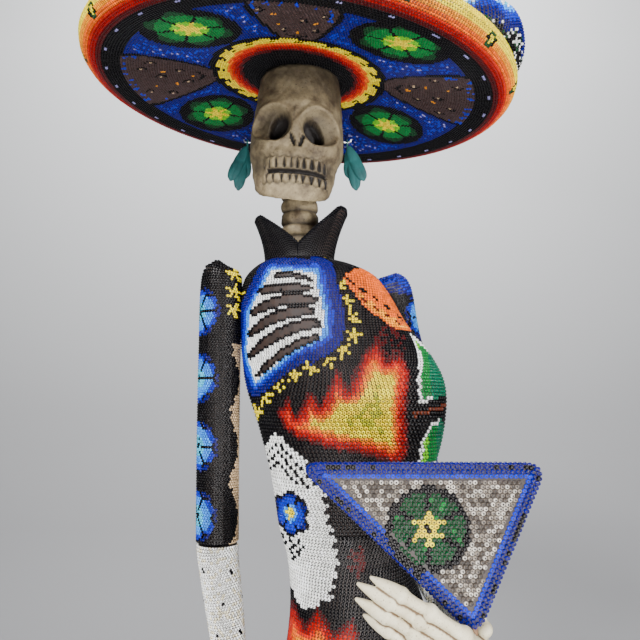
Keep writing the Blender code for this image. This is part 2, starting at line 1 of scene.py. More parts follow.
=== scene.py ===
"""Looks of the beaded catrina figure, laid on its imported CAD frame.

Every bead is a small ring set in wax, placed in rows on the surface below it and coloured by its place
in the design. Lengths in the designs are millimetres, and across is measured from the neck axis.
"""

import math

import bmesh
import bpy
import numpy as np
from mathutils import Matrix, Vector


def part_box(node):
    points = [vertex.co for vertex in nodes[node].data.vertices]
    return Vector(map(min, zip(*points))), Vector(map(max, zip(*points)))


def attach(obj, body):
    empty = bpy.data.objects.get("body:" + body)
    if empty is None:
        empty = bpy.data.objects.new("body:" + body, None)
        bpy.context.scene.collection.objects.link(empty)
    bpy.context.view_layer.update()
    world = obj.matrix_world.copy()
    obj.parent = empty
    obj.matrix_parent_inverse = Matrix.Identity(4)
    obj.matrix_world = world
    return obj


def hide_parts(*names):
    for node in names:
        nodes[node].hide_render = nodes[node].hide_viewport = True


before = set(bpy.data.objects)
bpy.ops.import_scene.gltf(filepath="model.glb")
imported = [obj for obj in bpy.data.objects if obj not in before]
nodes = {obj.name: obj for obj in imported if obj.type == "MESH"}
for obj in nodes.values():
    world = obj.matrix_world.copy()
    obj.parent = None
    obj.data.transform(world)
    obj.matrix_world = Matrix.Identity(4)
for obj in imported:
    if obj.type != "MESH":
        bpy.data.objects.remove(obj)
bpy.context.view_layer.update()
rng = np.random.default_rng(11)

MM = 0.001
TINY = 1e-12
ROW = 0.87  # distance between rows of beads, in bead pitches
BEAD_FILL = 0.99  # width of a bead, in bead pitches
FINE_PITCH = 1.95 * MM
HEM_PITCH = 2.45 * MM
BEADS_A_PIECE = 6500

NECK_X = -0.030
fan_low, fan_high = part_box("fan_panel")

# How the hat sits: its frame stands at the middle of its opening
HAT_Z = 0.7545
HAT_ROLL = 5.3
HAT_TIP = 3.5

# ---- colours

# name: linear colour, roughness, metallic
BEAD_COLOURS = {
    "black": ((0.002, 0.002, 0.003), 0.1, 0),
    "royal": ((0.002, 0.002, 0.15), 0.12, 0),
    "mid_blue": ((0.003, 0.022, 0.48), 0.14, 0),
    "light_blue": ((0.03, 0.26, 0.85), 0.16, 0),
    "cyan": ((0.05, 0.48, 0.72), 0.16, 0),
    "white": ((0.86, 0.86, 0.83), 0.2, 0),
    "ivory": ((0.76, 0.69, 0.5), 0.24, 0),
    "beige": ((0.47, 0.33, 0.19), 0.24, 0),
    "taupe": ((0.062, 0.036, 0.034), 0.2, 0.2),
    "brown": ((0.13, 0.022, 0.008), 0.2, 0),
    "maroon": ((0.07, 0.002, 0.003), 0.15, 0),
    "red": ((0.3, 0.001, 0.001), 0.13, 0),
    "red_orange": ((0.56, 0.014, 0), 0.14, 0),
    "orange": ((0.78, 0.12, 0), 0.14, 0),
    "amber": ((0.88, 0.29, 0), 0.14, 0),
    "yellow": ((0.86, 0.66, 0), 0.14, 0),
    "olive": ((0.44, 0.43, 0.008), 0.16, 0),
    "lime": ((0.16, 0.56, 0.01), 0.18, 0),
    "green": ((0.002, 0.17, 0.03), 0.14, 0),
    "teal": ((0.001, 0.12, 0.06), 0.14, 0),
    "dark_green": ((0.002, 0.045, 0.012), 0.14, 0),
    "lavender": ((0.3, 0.28, 0.56), 0.2, 0),
    "pearl_light": ((0.6, 0.55, 0.48), 0.18, 0.35),
    "pearl": ((0.27, 0.23, 0.19), 0.2, 0.45),
    "pearl_dark": ((0.095, 0.077, 0.063), 0.2, 0.45),
}
TINTS = (0.80, 1.0, 1.22)
TINT_SHARES = (0.30, 0.45, 0.25)
BRIGHTEST = 0.95
BEAD_GLOSS = 0.2
BLACK_GLOSS = 0.1
NAMES = list(BEAD_COLOURS)
NUMBER = {name: i for i, name in enumerate(NAMES)}
NO_BEAD = -1


def plain(name, colour, roughness):
    """A material of one colour."""
    mat = bpy.data.materials.new(name)
    mat.use_nodes = True
    shader = mat.node_tree.nodes["Principled BSDF"]
    shader.inputs["Base Color"].default_value = (*colour, 1)
    shader.inputs["Roughness"].default_value = roughness
    return mat


def bead_material(name, tint):
    """Glossy glass bead: one tint of one colour."""
    colour, roughness, metallic = BEAD_COLOURS[name]
    shade = [min(c * TINTS[tint], BRIGHTEST) for c in colour]
    mat = plain(f"bead_{name}_{tint}", shade, roughness)
    shader = mat.node_tree.nodes["Principled BSDF"]
    shader.inputs["Metallic"].default_value = metallic
    shader.inputs["Specular IOR Level"].default_value = BLACK_GLOSS if name == "black" else BEAD_GLOSS
    mat.diffuse_color = (*shade, 1)
    return mat


# the dark of each bead's hole: the wax seen at its bottom, and painted shade on its glass walls
BEAD_HOLE_WAX_AND_SHADE = plain("bead_hole_wax_and_shade", (0.012, 0.009, 0.008), 0.6)
BEAD_MATERIALS = [bead_material(name, tint) for name in NAMES for tint in range(len(TINTS))]


def add_node(tree, kind, **inputs):
    """A new shader node. Each input gets a value or the socket that feeds it; _ stands for a space."""
    made = tree.nodes.new("ShaderNode" + kind)
    for name, value in inputs.items():
        socket = made.inputs[name.replace("_", " ")]
        if isinstance(value, bpy.types.NodeSocket):
            tree.links.new(value, socket)
        else:
            socket.default_value = value
    return made


def ramp(tree, value, low, high, stops=(0, 1)):
    """A colour that a value moves from low to high between two stops."""
    made = add_node(tree, "ValToRGB", Fac=value)
    for element, stop, colour in zip(made.color_ramp.elements, stops, (low, high)):
        element.position = stop
        element.color = (*colour, 1)
    return made.outputs["Color"]


def mixed(tree, share, colour, other):
    """A colour socket mixed with a plain colour."""
    mix = tree.nodes.new("ShaderNodeMix")
    mix.data_type = "RGBA"
    tree.links.new(share, mix.inputs["Factor"])
    tree.links.new(colour, mix.inputs["A"])
    mix.inputs["B"].default_value = (*other, 1)
    return mix.outputs["Result"]


def noise_material(name, low, high, scale, roughness=(0.5, 0.8), bump=0.2, metallic=0.0, shade_and_marks=None):
    """A matt or satin surface whose colour wanders between two tones, with a fine bump.

    Its last colour is painted shade, laid in sunken places by the amount read from the mesh's own attribute,
    and also the colour of fine dark specks over the whole surface.
    """
    mat = bpy.data.materials.new(name)
    mat.use_nodes = True
    tree = mat.node_tree
    shader = tree.nodes["Principled BSDF"]
    shader.inputs["Metallic"].default_value = metallic
    place = tree.nodes.new("ShaderNodeTexCoord").outputs["Object"]
    noise = add_node(tree, "TexNoise", Vector=place, Scale=scale, Detail=6, Roughness=0.65).outputs["Fac"]
    colour = ramp(tree, noise, low, high, (0.32, 0.68))
    if shade_and_marks:
        # painted shade in sunken places, as much as the mesh's attribute holds
        attribute = tree.nodes.new("ShaderNodeAttribute")
        attribute.attribute_name = "hollow"
        colour = mixed(tree, attribute.outputs["Fac"], colour, shade_and_marks)
        # fine dark specks in the same colour, the clay's own
        specks = add_node(tree, "TexNoise", Vector=place, Scale=scale * 9, Detail=3).outputs["Fac"]
        colour = mixed(tree, ramp(tree, specks, (0,) * 3, (0.7,) * 3, (0.62, 0.72)), colour, shade_and_marks)
    tree.links.new(colour, shader.inputs["Base Color"])
    rough = add_node(tree, "MapRange", Value=noise, To_Min=roughness[0], To_Max=roughness[1])
    tree.links.new(rough.outputs["Result"], shader.inputs["Roughness"])
    fine = add_node(tree, "TexNoise", Vector=place, Scale=scale * 5, Detail=4)
    relief = add_node(tree, "Bump", Height=fine.outputs["Fac"], Strength=bump, Distance=0.0006)
    tree.links.new(relief.outputs["Normal"], shader.inputs["Normal"])
    return mat


def wood_material(name, low, high):
    """Turned wood: grain drawn out along the height, under a satin finish."""
    mat = noise_material(name, low, high, 60, (0.35, 0.6), 0.15)
    tree = mat.node_tree
    coords = next(n for n in tree.nodes if n.type == "TEX_COORD")
    stretch = add_node(tree, "Mapping", Vector=coords.outputs["Object"], Scale=(1, 1, 0.12))
    for node in tree.nodes:
        if node.type == "TEX_NOISE":
            tree.links.new(stretch.outputs["Vector"], node.inputs["Vector"])
    return mat


WAX = noise_material("dark_wax", (0.010, 0.007, 0.006), (0.035, 0.022, 0.016), 260, (0.35, 0.6), 0.3)
BARE = noise_material("bare_brown_clay", (0.010, 0.005, 0.004), (0.034, 0.016, 0.010), 180, bump=0.4)
# bone clay for skull and neck; its last colour is their painted shade, and their dark specks
CLAY = noise_material(
    "bone_clay", (0.060, 0.038, 0.019), (0.270, 0.210, 0.115), 110, (0.6, 0.85), 0.6,
    shade_and_marks=(0.006, 0.003, 0.002),
)
# ivory clay for the hand bones; its last colour is their painted shade, and their dark specks
IVORY = noise_material(
    "ivory_clay", (0.500, 0.430, 0.280), (0.700, 0.640, 0.460), 120, (0.45, 0.7), 0.3,
    shade_and_marks=(0.110, 0.062, 0.024),
)
TEAL = noise_material("teal_clay", (0.004, 0.060, 0.062), (0.008, 0.110, 0.108), 150, (0.55, 0.8), 0.35)
WOOD = wood_material("turned_wood", (0.085, 0.042, 0.020), (0.210, 0.115, 0.055))
STEEL = noise_material("drawn_wire", (0.45, 0.45, 0.44), (0.62, 0.62, 0.60), 400, (0.25, 0.4), 0.1, 1.0)
BOARD = noise_material("grey_board", (0.150, 0.110, 0.075), (0.260, 0.200, 0.140), 140, (0.75, 0.95), 0.3)


def finish(node, mat):
    """Gives a carried-over CAD node its final material."""
    mesh = nodes[node].data
    mesh.materials.clear()
    mesh.materials.append(mat)


# ---- smooth surfaces

DRESS_COLUMNS = 240
TUBE_COLUMNS = 72


def circle(count):
    """Evenly spaced angles, once round."""
    return np.linspace(0, 2 * math.pi, count, endpoint=False)


def unit(vectors):
    """The same directions, one unit long."""
    return vectors / np.linalg.norm(vectors, axis=-1, keepdims=True)


def smooth(rows, pieces):
    """Rows of numbers with more added between each two, by Catmull-Rom interpolation."""
    rows = np.asarray(rows, float)
    padded = np.vstack([rows[:1], rows, rows[-1:]])
    out = []
    for i in range(len(rows) - 1):
        p0, p1, p2, p3 = padded[i : i + 4]
        for t in np.arange(pieces) / pieces:
            point = 2 * p1 + (p2 - p0) * t + (2 * p0 - 5 * p1 + 4 * p2 - p3) * t * t
            out.append(0.5 * (point + (3 * p1 - p0 - 3 * p2 + p3) * t**3))
    out.append(rows[-1])
    return np.array(out)


def distance_along(line):
    """How far each point of a line is from its first point, along it."""
    return np.concatenate([[0], np.cumsum(np.linalg.norm(np.diff(line, axis=0), axis=1))])


def places_on(line, spots):
    """Points at given distances along a flat line."""
    along = distance_along(line)
    return np.stack([np.interp(spots, along, line[:, k]) for k in (0, 1)], -1)


def round_neck(radius, angle, height):
    """Points about the neck axis."""
    return np.stack([NECK_X + radius * np.cos(angle), radius * np.sin(angle), height + 0 * angle], -1)


def turned_grid(profile, columns):
    """Rings about the neck axis from (radius, height) points."""
    radius, height = np.asarray(profile, float).T[..., None]
    return round_neck(radius, circle(columns), height)


def oval_grid(sections):
    """Level ovals from (height, x, y, half width, half depth, turn in degrees)."""
    angle = circle(DRESS_COLUMNS)
    z, x, y, half_width, half_depth, turn = np.asarray(sections, float).T[..., None]
    across = half_width * np.cos(angle)
    along = half_depth * np.sin(angle)
    turn = np.radians(turn)
    x = x + across * np.cos(turn) - along * np.sin(turn)
    y = y + across * np.sin(turn) + along * np.cos(turn)
    return np.stack([x, y, z + 0 * angle], -1)


def tube(line, side, other):
    """Rings round a line of (x, y, z, half thickness), spanned by two directions at each of its points."""
    angle = circle(TUBE_COLUMNS)[:, None]
    ring = side[:, None] * np.cos(angle) + other[:, None] * np.sin(angle)
    return line[:, None, :3] + line[:, 3][:, None, None] * ring


def spokes(points, normals, route):
    """For beads on a tube: the route's nearest point, the way out from it, and normals turned outwards."""
    nearest = np.linalg.norm(points[:, None] - route[None], axis=2).argmin(axis=1)
    spoke = points - route[nearest]
    if (spoke * normals).sum() < 0:
        normals = -normals
    return nearest, spoke, normals


def add_object(name, data):
    """A new object in the scene."""
    obj = bpy.data.objects.new(name, data)
    bpy.context.scene.collection.objects.link(obj)
    return obj


def grid_mesh(name, grid, mat, body, close_ends=True):
    """A smooth skin over a grid of rings."""
    count, columns = grid.shape[:2]
    i, j = np.meshgrid(np.arange(count - 1), np.arange(columns), indexing="ij")
    k = (j + 1) % columns
    faces = np.stack([i * columns + j, i * columns + k, (i + 1) * columns + k, (i + 1) * columns + j], -1)
    faces = faces.reshape(-1, 4).tolist()
    if close_ends:
        faces.append(list(range(columns))[::-1])
        faces.append(list(range((count - 1) * columns, count * columns)))
    mesh = bpy.data.meshes.new(name)
    mesh.from_pydata(grid.reshape(-1, 3).tolist(), [], faces)
    mesh.polygons.foreach_set("use_smooth", np.ones(len(faces), bool))
    mesh.materials.append(mat)
    obj = add_object(name, mesh)
    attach(obj, body)
    return obj


# ---- beads


# The bead's outline as (radius, height) in bead widths, and the depth of its hole
BEAD_RINGS = ((0.47, -0.12), (0.48, 0.24), (0.23, 0.50))
BEAD_PIT = 0.12


def bead_template(sides):
    """One bead: a rounded ring with a dark pit for its hole, one unit across, standing on its surface. The
    pit's dark is the wax below it and painted shade on the glass of its walls.
    """
    turn = [2 * math.pi * i / sides for i in range(sides)]
    verts = [(r * math.cos(a), r * math.sin(a), height) for r, height in BEAD_RINGS for a in turn]
    verts.append((0, 0, BEAD_PIT))
    faces = []
    for ring in range(2):
        for i in range(sides):
            j = (i + 1) % sides
            faces.append((ring * sides + i, ring * sides + j, (ring + 1) * sides + j, (ring + 1) * sides + i))
    for i in range(sides):
        faces.append((2 * sides + i, 2 * sides + (i + 1) % sides, 3 * sides))
    return np.array(verts), faces


def rows_on(grid, pitch):
    """Bead places and outward directions, row after row, on a grid of rings.

    pitch is the bead spacing in metres, or a function of height that gives it.
    """
    steps = np.linalg.norm(np.diff(grid, axis=0), axis=2).mean(axis=1)
    along = np.concatenate([[0], np.cumsum(steps)])
    heights = grid[..., 2].mean(axis=1)
    points, normals = [], []
    place, row = None, 0
    while True:
        size = pitch(float(np.interp(place or 0, along, heights))) if callable(pitch) else pitch
        place = size / 2 if place is None else place + size * ROW
        if place > along[-1]:
            break
        i = min(int(np.searchsorted(along, place, side="right")) - 1, len(steps) - 1)
        share = (place - along[i]) / steps[i]
        ring = grid[i] * (1 - share) + grid[i + 1] * share
        rise = grid[i + 1] - grid[i]
        following = np.roll(ring, -1, axis=0)
        edge = np.linalg.norm(following - ring, axis=1)
        around = np.concatenate([[0], np.cumsum(edge)])
        count = max(int(round(around[-1] / size)), 3)
        spots = (np.arange(count) + 0.5 * (row % 2)) / count * around[-1]
        j = np.minimum(np.searchsorted(around, spots, side="right") - 1, len(ring) - 1)
        part = ((spots - around[j]) / edge[j])[:, None]
        points.append(ring[j] * (1 - part) + following[j] * part)
        normals.append(unit(np.cross(following[j] - ring[j], rise[j])))
        row += 1
    return np.vstack(points), np.vstack(normals)


def set_beads(name, body, slot, points, normals, colours, size, sides=6):
    """Makes the beads as real rings, in pieces small enough to handle. size is one number or one a bead."""
    keep = colours != NO_BEAD
    points, normals, colours = points[keep], normals[keep], colours[keep]
    size = np.broadcast_to(size, keep.shape)[keep] * rng.uniform(0.93, 1.01, len(points))
    normals = unit(normals + rng.normal(0, 0.05, normals.shape))
    helper = np.where(np.abs(normals[:, 2:3]) < 0.9, [[0.0, 0.0, 1.0]], [[1.0, 0.0, 0.0]])
    first = unit(np.cross(helper, normals))
    second = np.cross(normals, first)
    spin = rng.uniform(0, 2 * math.pi, len(points))[:, None]
    turned = first * np.cos(spin) + second * np.sin(spin)
    axes = (turned, second * np.cos(spin) - first * np.sin(spin), normals)
    tints = rng.choice(len(TINTS), len(points), p=TINT_SHARES)
    verts, faces = bead_template(sides)
    loops = np.array([v for face in faces for v in face])
    lengths = np.array([len(face) for face in faces])
    for number, begin in enumerate(range(0, len(points), BEADS_A_PIECE)):
        part = slice(begin, begin + BEADS_A_PIECE)
        count = len(points[part])
        place = sum(verts[None, :, k, None] * axis[part][:, None] for k, axis in enumerate(axes))
        place = points[part][:, None] + place * size[part][:, None, None]
        used, index = np.unique(colours[part] * len(TINTS) + tints[part], return_inverse=True)
        mesh = bpy.data.meshes.new(f"{name}_{number + 1}")
        mesh.vertices.add(count * len(verts))
        mesh.vertices.foreach_set("co", place.astype(np.float32).ravel())
        mesh.loops.add(count * len(loops))
        offsets = np.arange(count)[:, None] * len(verts)
        mesh.loops.foreach_set("vertex_index", (loops[None] + offsets).astype(np.int32).ravel())
        mesh.polygons.add(count * len(faces))
        starts = np.concatenate([[0], np.cumsum(np.tile(lengths, count))[:-1]])
        mesh.polygons.foreach_set("loop_start", starts.astype(np.int32))
        mesh.polygons.foreach_set("use_smooth", np.ones(count * len(faces), bool))
        for m in used:
            mesh.materials.append(BEAD_MATERIALS[m])
        mesh.materials.append(BEAD_HOLE_WAX_AND_SHADE)
        face_material = np.repeat(index[:, None], len(faces), axis=1)
        face_material[:, -sides:] = len(used)
        mesh.polygons.foreach_set("material_index", face_material.astype(np.int32).ravel())
        mesh.update(calc_edges=True)
        obj = add_object(mesh.name, mesh)
        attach(obj, body)


# ---- drawing in beads


def blank(points, name="black"):
    """Every bead in one colour, to draw on."""
    return np.full(len(points), NUMBER[name])


def paint(colours, where, name):
    """Colours the beads where a test holds. The name None takes them away."""
    colours[where] = NO_BEAD if name is None else NUMBER[name]


def scatter(colours, where, share, name):
    """Colours a random share of the beads where a test holds."""
    paint(colours, where & (rng.random(len(colours)) < share), name)


def bands(colours, where, value, steps):
    """Colours by how far value has come: steps are (upper limit, colour name) in rising order."""
    low = -np.inf
    for limit, name in steps:
        paint(colours, where & (value >= low) & (value < limit), name)
        low = limit


def outline_distance(x, z, outline):
    """Distance from a closed outline, negative inside it."""
    a = np.asarray(outline, float)
    b = np.roll(a, -1, axis=0)
    p = np.stack([x, z], -1)[:, None]
    edge = b - a
    t = np.clip(((p - a) * edge).sum(-1) / (edge**2).sum(-1), 0, 1)
    away = np.linalg.norm(p - (a + t[..., None] * edge), axis=-1).min(axis=1)
    crosses = (a[:, 1] > p[..., 1]) != (b[:, 1] > p[..., 1])
    rise = np.where(edge[:, 1] == 0, 1e-9, edge[:, 1])
    at = a[:, 0] + (p[..., 1] - a[:, 1]) / rise * edge[:, 0]
    inside = (crosses & (p[..., 0] < at)).sum(axis=1) % 2 == 1
    return np.where(inside, -away, away)


SPLAT_R = 5.4


def splat(colours, where, x, z, turn):
    """A small yellow branching mark, like a drop with five arms."""
    angle = np.arctan2(z, x)
    reach = SPLAT_R * (0.60 + 0.42 * np.cos(5 * (angle - turn)))
    paint(colours, where & (np.hypot(x, z) < reach), "yellow")


def flower(colours, u, v, radius, petals, star="yellow", turn=0.0, outline=2.6, where=True):
    """A six-petalled flower with a star at its centre and a black outline."""
    away = np.hypot(u, v)
    angle = np.arctan2(v, u) - turn
    edge = radius * (0.80 + 0.20 * np.cos(3 * angle) ** 2)
    near = where & (away < edge + outline)
    paint(colours, near, "black")
    petal = near & (away < edge) & (np.abs(np.cos(3 * angle)) * away > radius * 0.12)
    bands(colours, petal, away / radius, zip((0.42, 0.78, 9), petals))
    arm = radius * (0.17 + 0.22 * np.abs(np.sin(3 * angle)) ** 3)
    paint(colours, near & (away < arm), star)


def halo(colours, where, away, radius, steps):
    """Rings of colour round a radius, out to the last of the steps."""
    bands(colours, where & (away > radius) & (away < radius + steps[-1][0]), away - radius, steps)


def wrapped(angle):
    """An angle brought to between -pi and pi."""
    return (angle + math.pi) % (2 * math.pi) - math.pi


def tongues(angle, count):
    """0 at count places round the circle and 1 half way between them."""
    return np.abs(wrapped(angle * count)) / math.pi


GREEN_PETALS = ("lime", "green", "dark_green")
BLUE_PETALS = ("cyan", "light_blue", "royal")
FIRE_COLOURS = ("maroon", "red", "red_orange", "orange", "amber", "yellow")
FIRE_HEART = 17.5
FIRE = (*zip((2.2, 5.0, 7.2, 9.4, 11.4, FIRE_HEART), FIRE_COLOURS), (90, "olive"))


def flame(colours, where, depth):
    """Fire from its dark edge to its yellow heart, with yellow beads among the olive ones."""
    bands(colours, where & (depth > 0), depth, FIRE)
    scatter(colours, where & (depth > FIRE_HEART), 0.45, "yellow")


# ---- dress

# Height, centre x, centre y, half width, half depth, turn in degrees: the same sections as the CAD's
SECTIONS = (
    (0.013, 0, 0, 0.126, 0.116, 0),
    (0.06, 0.001, 0, 0.117, 0.107, 0),
    (0.14, 0.004, 0, 0.098, 0.089, 0),
    (0.22, 0.008, 0, 0.078, 0.071, 0),
    (0.3, 0.011, 0, 0.061, 0.056, 0),
    (0.36, 0.011, 0, 0.05, 0.046, 0),
    (0.4, 0.008, 0, 0.042, 0.04, 0),
    (0.43, 0.002, 0.001, 0.038, 0.037, -4),
    (0.45, -0.001, 0.001, 0.0406, 0.037, -7),
    (0.47, 0.001, 0, 0.046, 0.038, -9),
    (0.49, 0.004, -0.001, 0.0535, 0.04, -11),
    (0.515, 0.0035, -0.002, 0.0605, 0.042, -13),
    (0.54, -0.0005, -0.002, 0.0655, 0.042, -14),
    (0.56, -0.0065, -0.002, 0.0625, 0.041, -14),
    (0.58, -0.0145, -0.001, 0.0555, 0.038, -13),
    (0.6, -0.02, 0, 0.05, 0.034, -12),
    (0.612, -0.023, 0, 0.044, 0.031, -10),
    (0.619, -0.026, 0, 0.034, 0.027, -6),
    (0.623, -0.029, 0, 0.0235, 0.0215, 0),
)
HEM_TOP = 0.0240

# Outlines on the front, as (across, height)
RIB_ZONE = ((-17, 613), (10, 610), (16, 582), (15, 571), (-4, 560), (-27, 543), (-33, 560), (-31, 588))
# Each rib gap: left end, right end, rise of its arch, half thickness
RIB_GAPS = (
    ((-15, 610), (8, 606), 1.2, 2.1),
    ((-25, 600.5), (8, 600), 1.2, 2.8),
    ((-30, 587), (11, 592), 3.4, 3.8),
    ((-31, 573.5), (9, 585), 4, 4),
    ((-31, 559.5), (13, 577), 4.4, 4.1),
    ((-26, 546.5), (12, 568.5), 3.2, 3.2),
)
CHAIN = ((15, 621), (28, 598), (34, 580), (33, 566), (21, 556), (5, 549), (-10, 541), (-21, 532), (-28, 520))
FEATHER = ((36, 615), (46, 616), (60, 600), (73, 574), (59, 575), (42, 588), (28, 607))
FLAME = (
    (-13, 524), (-5, 532), (0, 521), (7, 537), (14, 528), (24, 550), (31, 538), (38, 556), (48, 567),
    (55, 555), (64, 560), (69, 546), (66, 524), (67, 500), (62, 491), (44, 497), (20, 502), (-1, 507),
    (-10, 515),
)
LEAVES = (
    ((70, 573), (82, 565), (93, 549), (93, 534), (82, 530), (74, 528), (73, 543), (75, 556)),
    ((89, 520), (95, 507), (93, 491), (73, 490), (75, 506), (81, 516)),
)
HIP_PANEL = (
    (-14, 511), (2, 497), (14, 486), (19, 460), (25, 438), (20, 414), (4, 404), (-8, 419), (-16, 449),
    (-23, 483), (-21, 501),
)
LOW_FLAME = (
    (-9, 396), (-2, 407), (5, 397), (13, 410), (22, 397), (33, 406), (42, 384), (46, 352), (34, 330),
    (14, 322), (-4, 336), (-12, 366),
)
# Heights, in millimetres, at which the designs of the skirt, the front and the back begin and end
WAIST_Z = 400
FRONT_END_Z = 318
BACK_FLAME_Z = 420
SKIRT_FLAME_Z = 188


def path_points(path, spacing):
    """Evenly spaced points on a smooth path."""
    line = smooth(path, 12)
    return places_on(line, np.arange(0, distance_along(line)[-1], spacing))


def ribs(colours, front, x, z):
    """The window on the ribs: white bars with bare gaps, in a halo that fades from white to blue."""
    away = outline_distance(x, z, RIB_ZONE)
    away = np.where(x > 8, away * 0.72, away)
    steps = ((0.6, "white"), (2.6, "light_blue"), (4.8, "mid_blue"), (9.6, "royal"), (10.5, "black"))
    bands(colours, front, away, steps)
    for (x1, z1), (x2, z2), rise, half in RIB_GAPS:
        t = np.clip((x - x1) / (x2 - x1), 0, 1)
        line = z1 + (z2 - z1) * t + rise * 4 * t * (1 - t)
        off = np.hypot(z - line, x - (x1 + (x2 - x1) * t))
        wide = half * (0.50 + 0.50 * np.sqrt(np.clip(4 * (t**0.8) * (1 - t), 0, 1)))
        paint(colours, front & (off < wide + 0.2), "black")
        paint(colours, front & (off < wide - 1.5), None)


def hip_panel(colours, front, x, z):
    """The white panel on the hip, with chevrons, a flower and wavy marks."""
    ragged = np.where(x > 0, 1.6 * np.sin(z * 0.95), 0.5 * np.sin(z * 1.3))
    away = outline_distance(x, z, HIP_PANEL) + ragged
    panel = front & (away < 0)
    paint(colours, panel, "white")
    for tip in (504, 498, 492):
        line = tip - 1.05 * np.abs(x + 12)
        paint(colours, panel & (away < -2.2) & (np.abs(z - line) < 0.95) & (z > 478), "black")
    petals = ("light_blue", "mid_blue", "royal")
    flower(colours, x + 4, (z - 461) * 0.80, 10.5, petals, turn=0.5, outline=1.6, where=front)
    for shift in (-5, 0, 5):
        wave = x + 3 - shift + 1.5 * np.sin(z * 0.85)
        paint(colours, panel & (np.abs(wave) < 0.95) & (z > 431 + abs(shift)) & (z < 447), "black")


def front_design(colours, front, x, z):
    """The breast, waist and hip, as seen from the front."""
    for number, (sx, sz) in enumerate(path_points(CHAIN, 11.2)):
        splat(colours, front, x - sx, z - sz, 0.7 + 1.9 * number)
    for number, sz in enumerate((612, 601, 590, 578)):
        splat(colours, front, x + 41, z - sz, 0.3 + 2.3 * number)
    ribs(colours, front, x, z)
    away = outline_distance(x, z, FEATHER)
    feather = front & (away < 0)
    slant = (x - 28) * 0.66 + (z - 607)
    bands(colours, feather, slant + 1.2 * np.sin(x * 0.9), ((-3.5, "amber"), (99, "orange")))
    paint(colours, feather & (away > -1.3), "orange")
    feather = feather & (away < -2)
    paint(colours, feather & (np.abs(slant - 1) < 1.0) & (np.sin(x * 0.8) > -0.2), "black")
    paint(colours, feather & (np.abs(slant + 5) < 0.9) & (np.cos(x * 0.9) > 0.2), "maroon")
    scatter(colours, front & (np.hypot(x - 57, z - 566) < 11), 0.4, "maroon")
    away = outline_distance(x, z, FLAME)
    flame(colours, front, -away * 1.12 + 0.5 * np.sin(x * 0.8))
    for outline in LEAVES:
        away = outline_distance(x, z, outline)
        inside = front & (away < 0)
        side = x - np.mean(outline, axis=0)[0]
        bands(colours, inside, side, ((-4.5, "lime"), (1.5, "green"), (99, "teal")))
        paint(colours, inside & (away > -2.4) & (side < 3), "white")
    paint(colours, front & (np.abs(z - 524 - 0.25 * (x - 80)) < 1.4) & (x > 70), "brown")
    hip_panel(colours, front, x, z)
    flame(colours, front, -outline_distance(x, z, LOW_FLAME))
    scatter(colours, front & (np.hypot((x - 36) * 1.6, z - 436) < 9), 0.6, "maroon")


def flower_ring(colours, where, angle, reach, z, height, count, radius, petals, phase):
    """Flowers in a level ring round the skirt, each in a blue halo. reach is the skirt's radius there."""
    for k in range(count):
        u = wrapped(angle - phase - 2 * math.pi * k / count) * reach
        v = z - height
        steps = ((4.5, "black"), (6.2, "light_blue"), (7.6, "mid_blue"), (9, "royal"))
        halo(colours, where, np.hypot(u, v), radius, steps)
        flower(colours, u, v, radius, petals, where=where, turn=math.pi / 6)


def skirt_design(colours, where, angle, reach, z):
    """Rings of flowers, flames and drops down the skirt, to a rainbow hem."""
    for height, count in ((258, 16), (168, 22), (84, 30)):
        for k in range(count):
            u = wrapped(angle - 2 * math.pi * (k + 0.5) / count) * reach
            splat(colours, where, u, z - height - 2 * math.sin(k * 2.1), k * 1.7)
    flower_ring(colours, where, angle, reach, z, 300, 6, 14, GREEN_PETALS, 0.55)
    flower_ring(colours, where, angle, reach, z, 126, 9, 20, BLUE_PETALS, 0.2)
    tongue = tongues(angle, 12)
    rise = z - SKIRT_FLAME_Z
    depth = np.minimum(rise * 0.9, 46 * (1 - tongue) ** 0.8 + 6 - rise)
    depth = np.minimum(depth, 13 * (1 - tongue) + 3)
    flame(colours, where & (rise > 0), depth)
    hem_rise = z - 24 - 9 * tongues(angle, 14)
    bands(colours, where, hem_rise, (*zip(range(5, 31, 5), FIRE_COLOURS[::-1]), (36, "black")))


def back_design(colours, back, x, z):
    """The back of the bodice: one large flower over a flame."""
    middle = x - 22
    height = z - 566
    steps = ((4, "black"), (6, "light_blue"), (8, "mid_blue"), (11, "royal"), (12, "black"))
    halo(colours, back, np.hypot(middle, height), 22, steps)
    flower(colours, middle, height, 22, BLUE_PETALS, turn=math.pi / 6, where=back)
    tongue = tongues(middle * 2 * math.pi / 24, 1)
    rise = z - BACK_FLAME_Z
    depth = np.minimum(rise * 0.7, 78 + 24 * (1 - tongue) - rise)
    depth = np.minimum(depth, (44 - np.abs(middle)) * 0.9)
    flame(colours, back & (rise > 0), depth)


# Spacing of the dress's beads, in millimetres, at heights in metres
DRESS_PITCHES = ((0, 2.5), (0.36, 2.3), (0.44, 2.2), (0.485, 2.65), (0.53, 2.65), (0.552, 2.1), (0.7, 1.95))


def dress_pitch(height):
    """The spacing of beads at a height on the dress, in metres."""
    return float(np.interp(height, *zip(*DRESS_PITCHES))) * MM


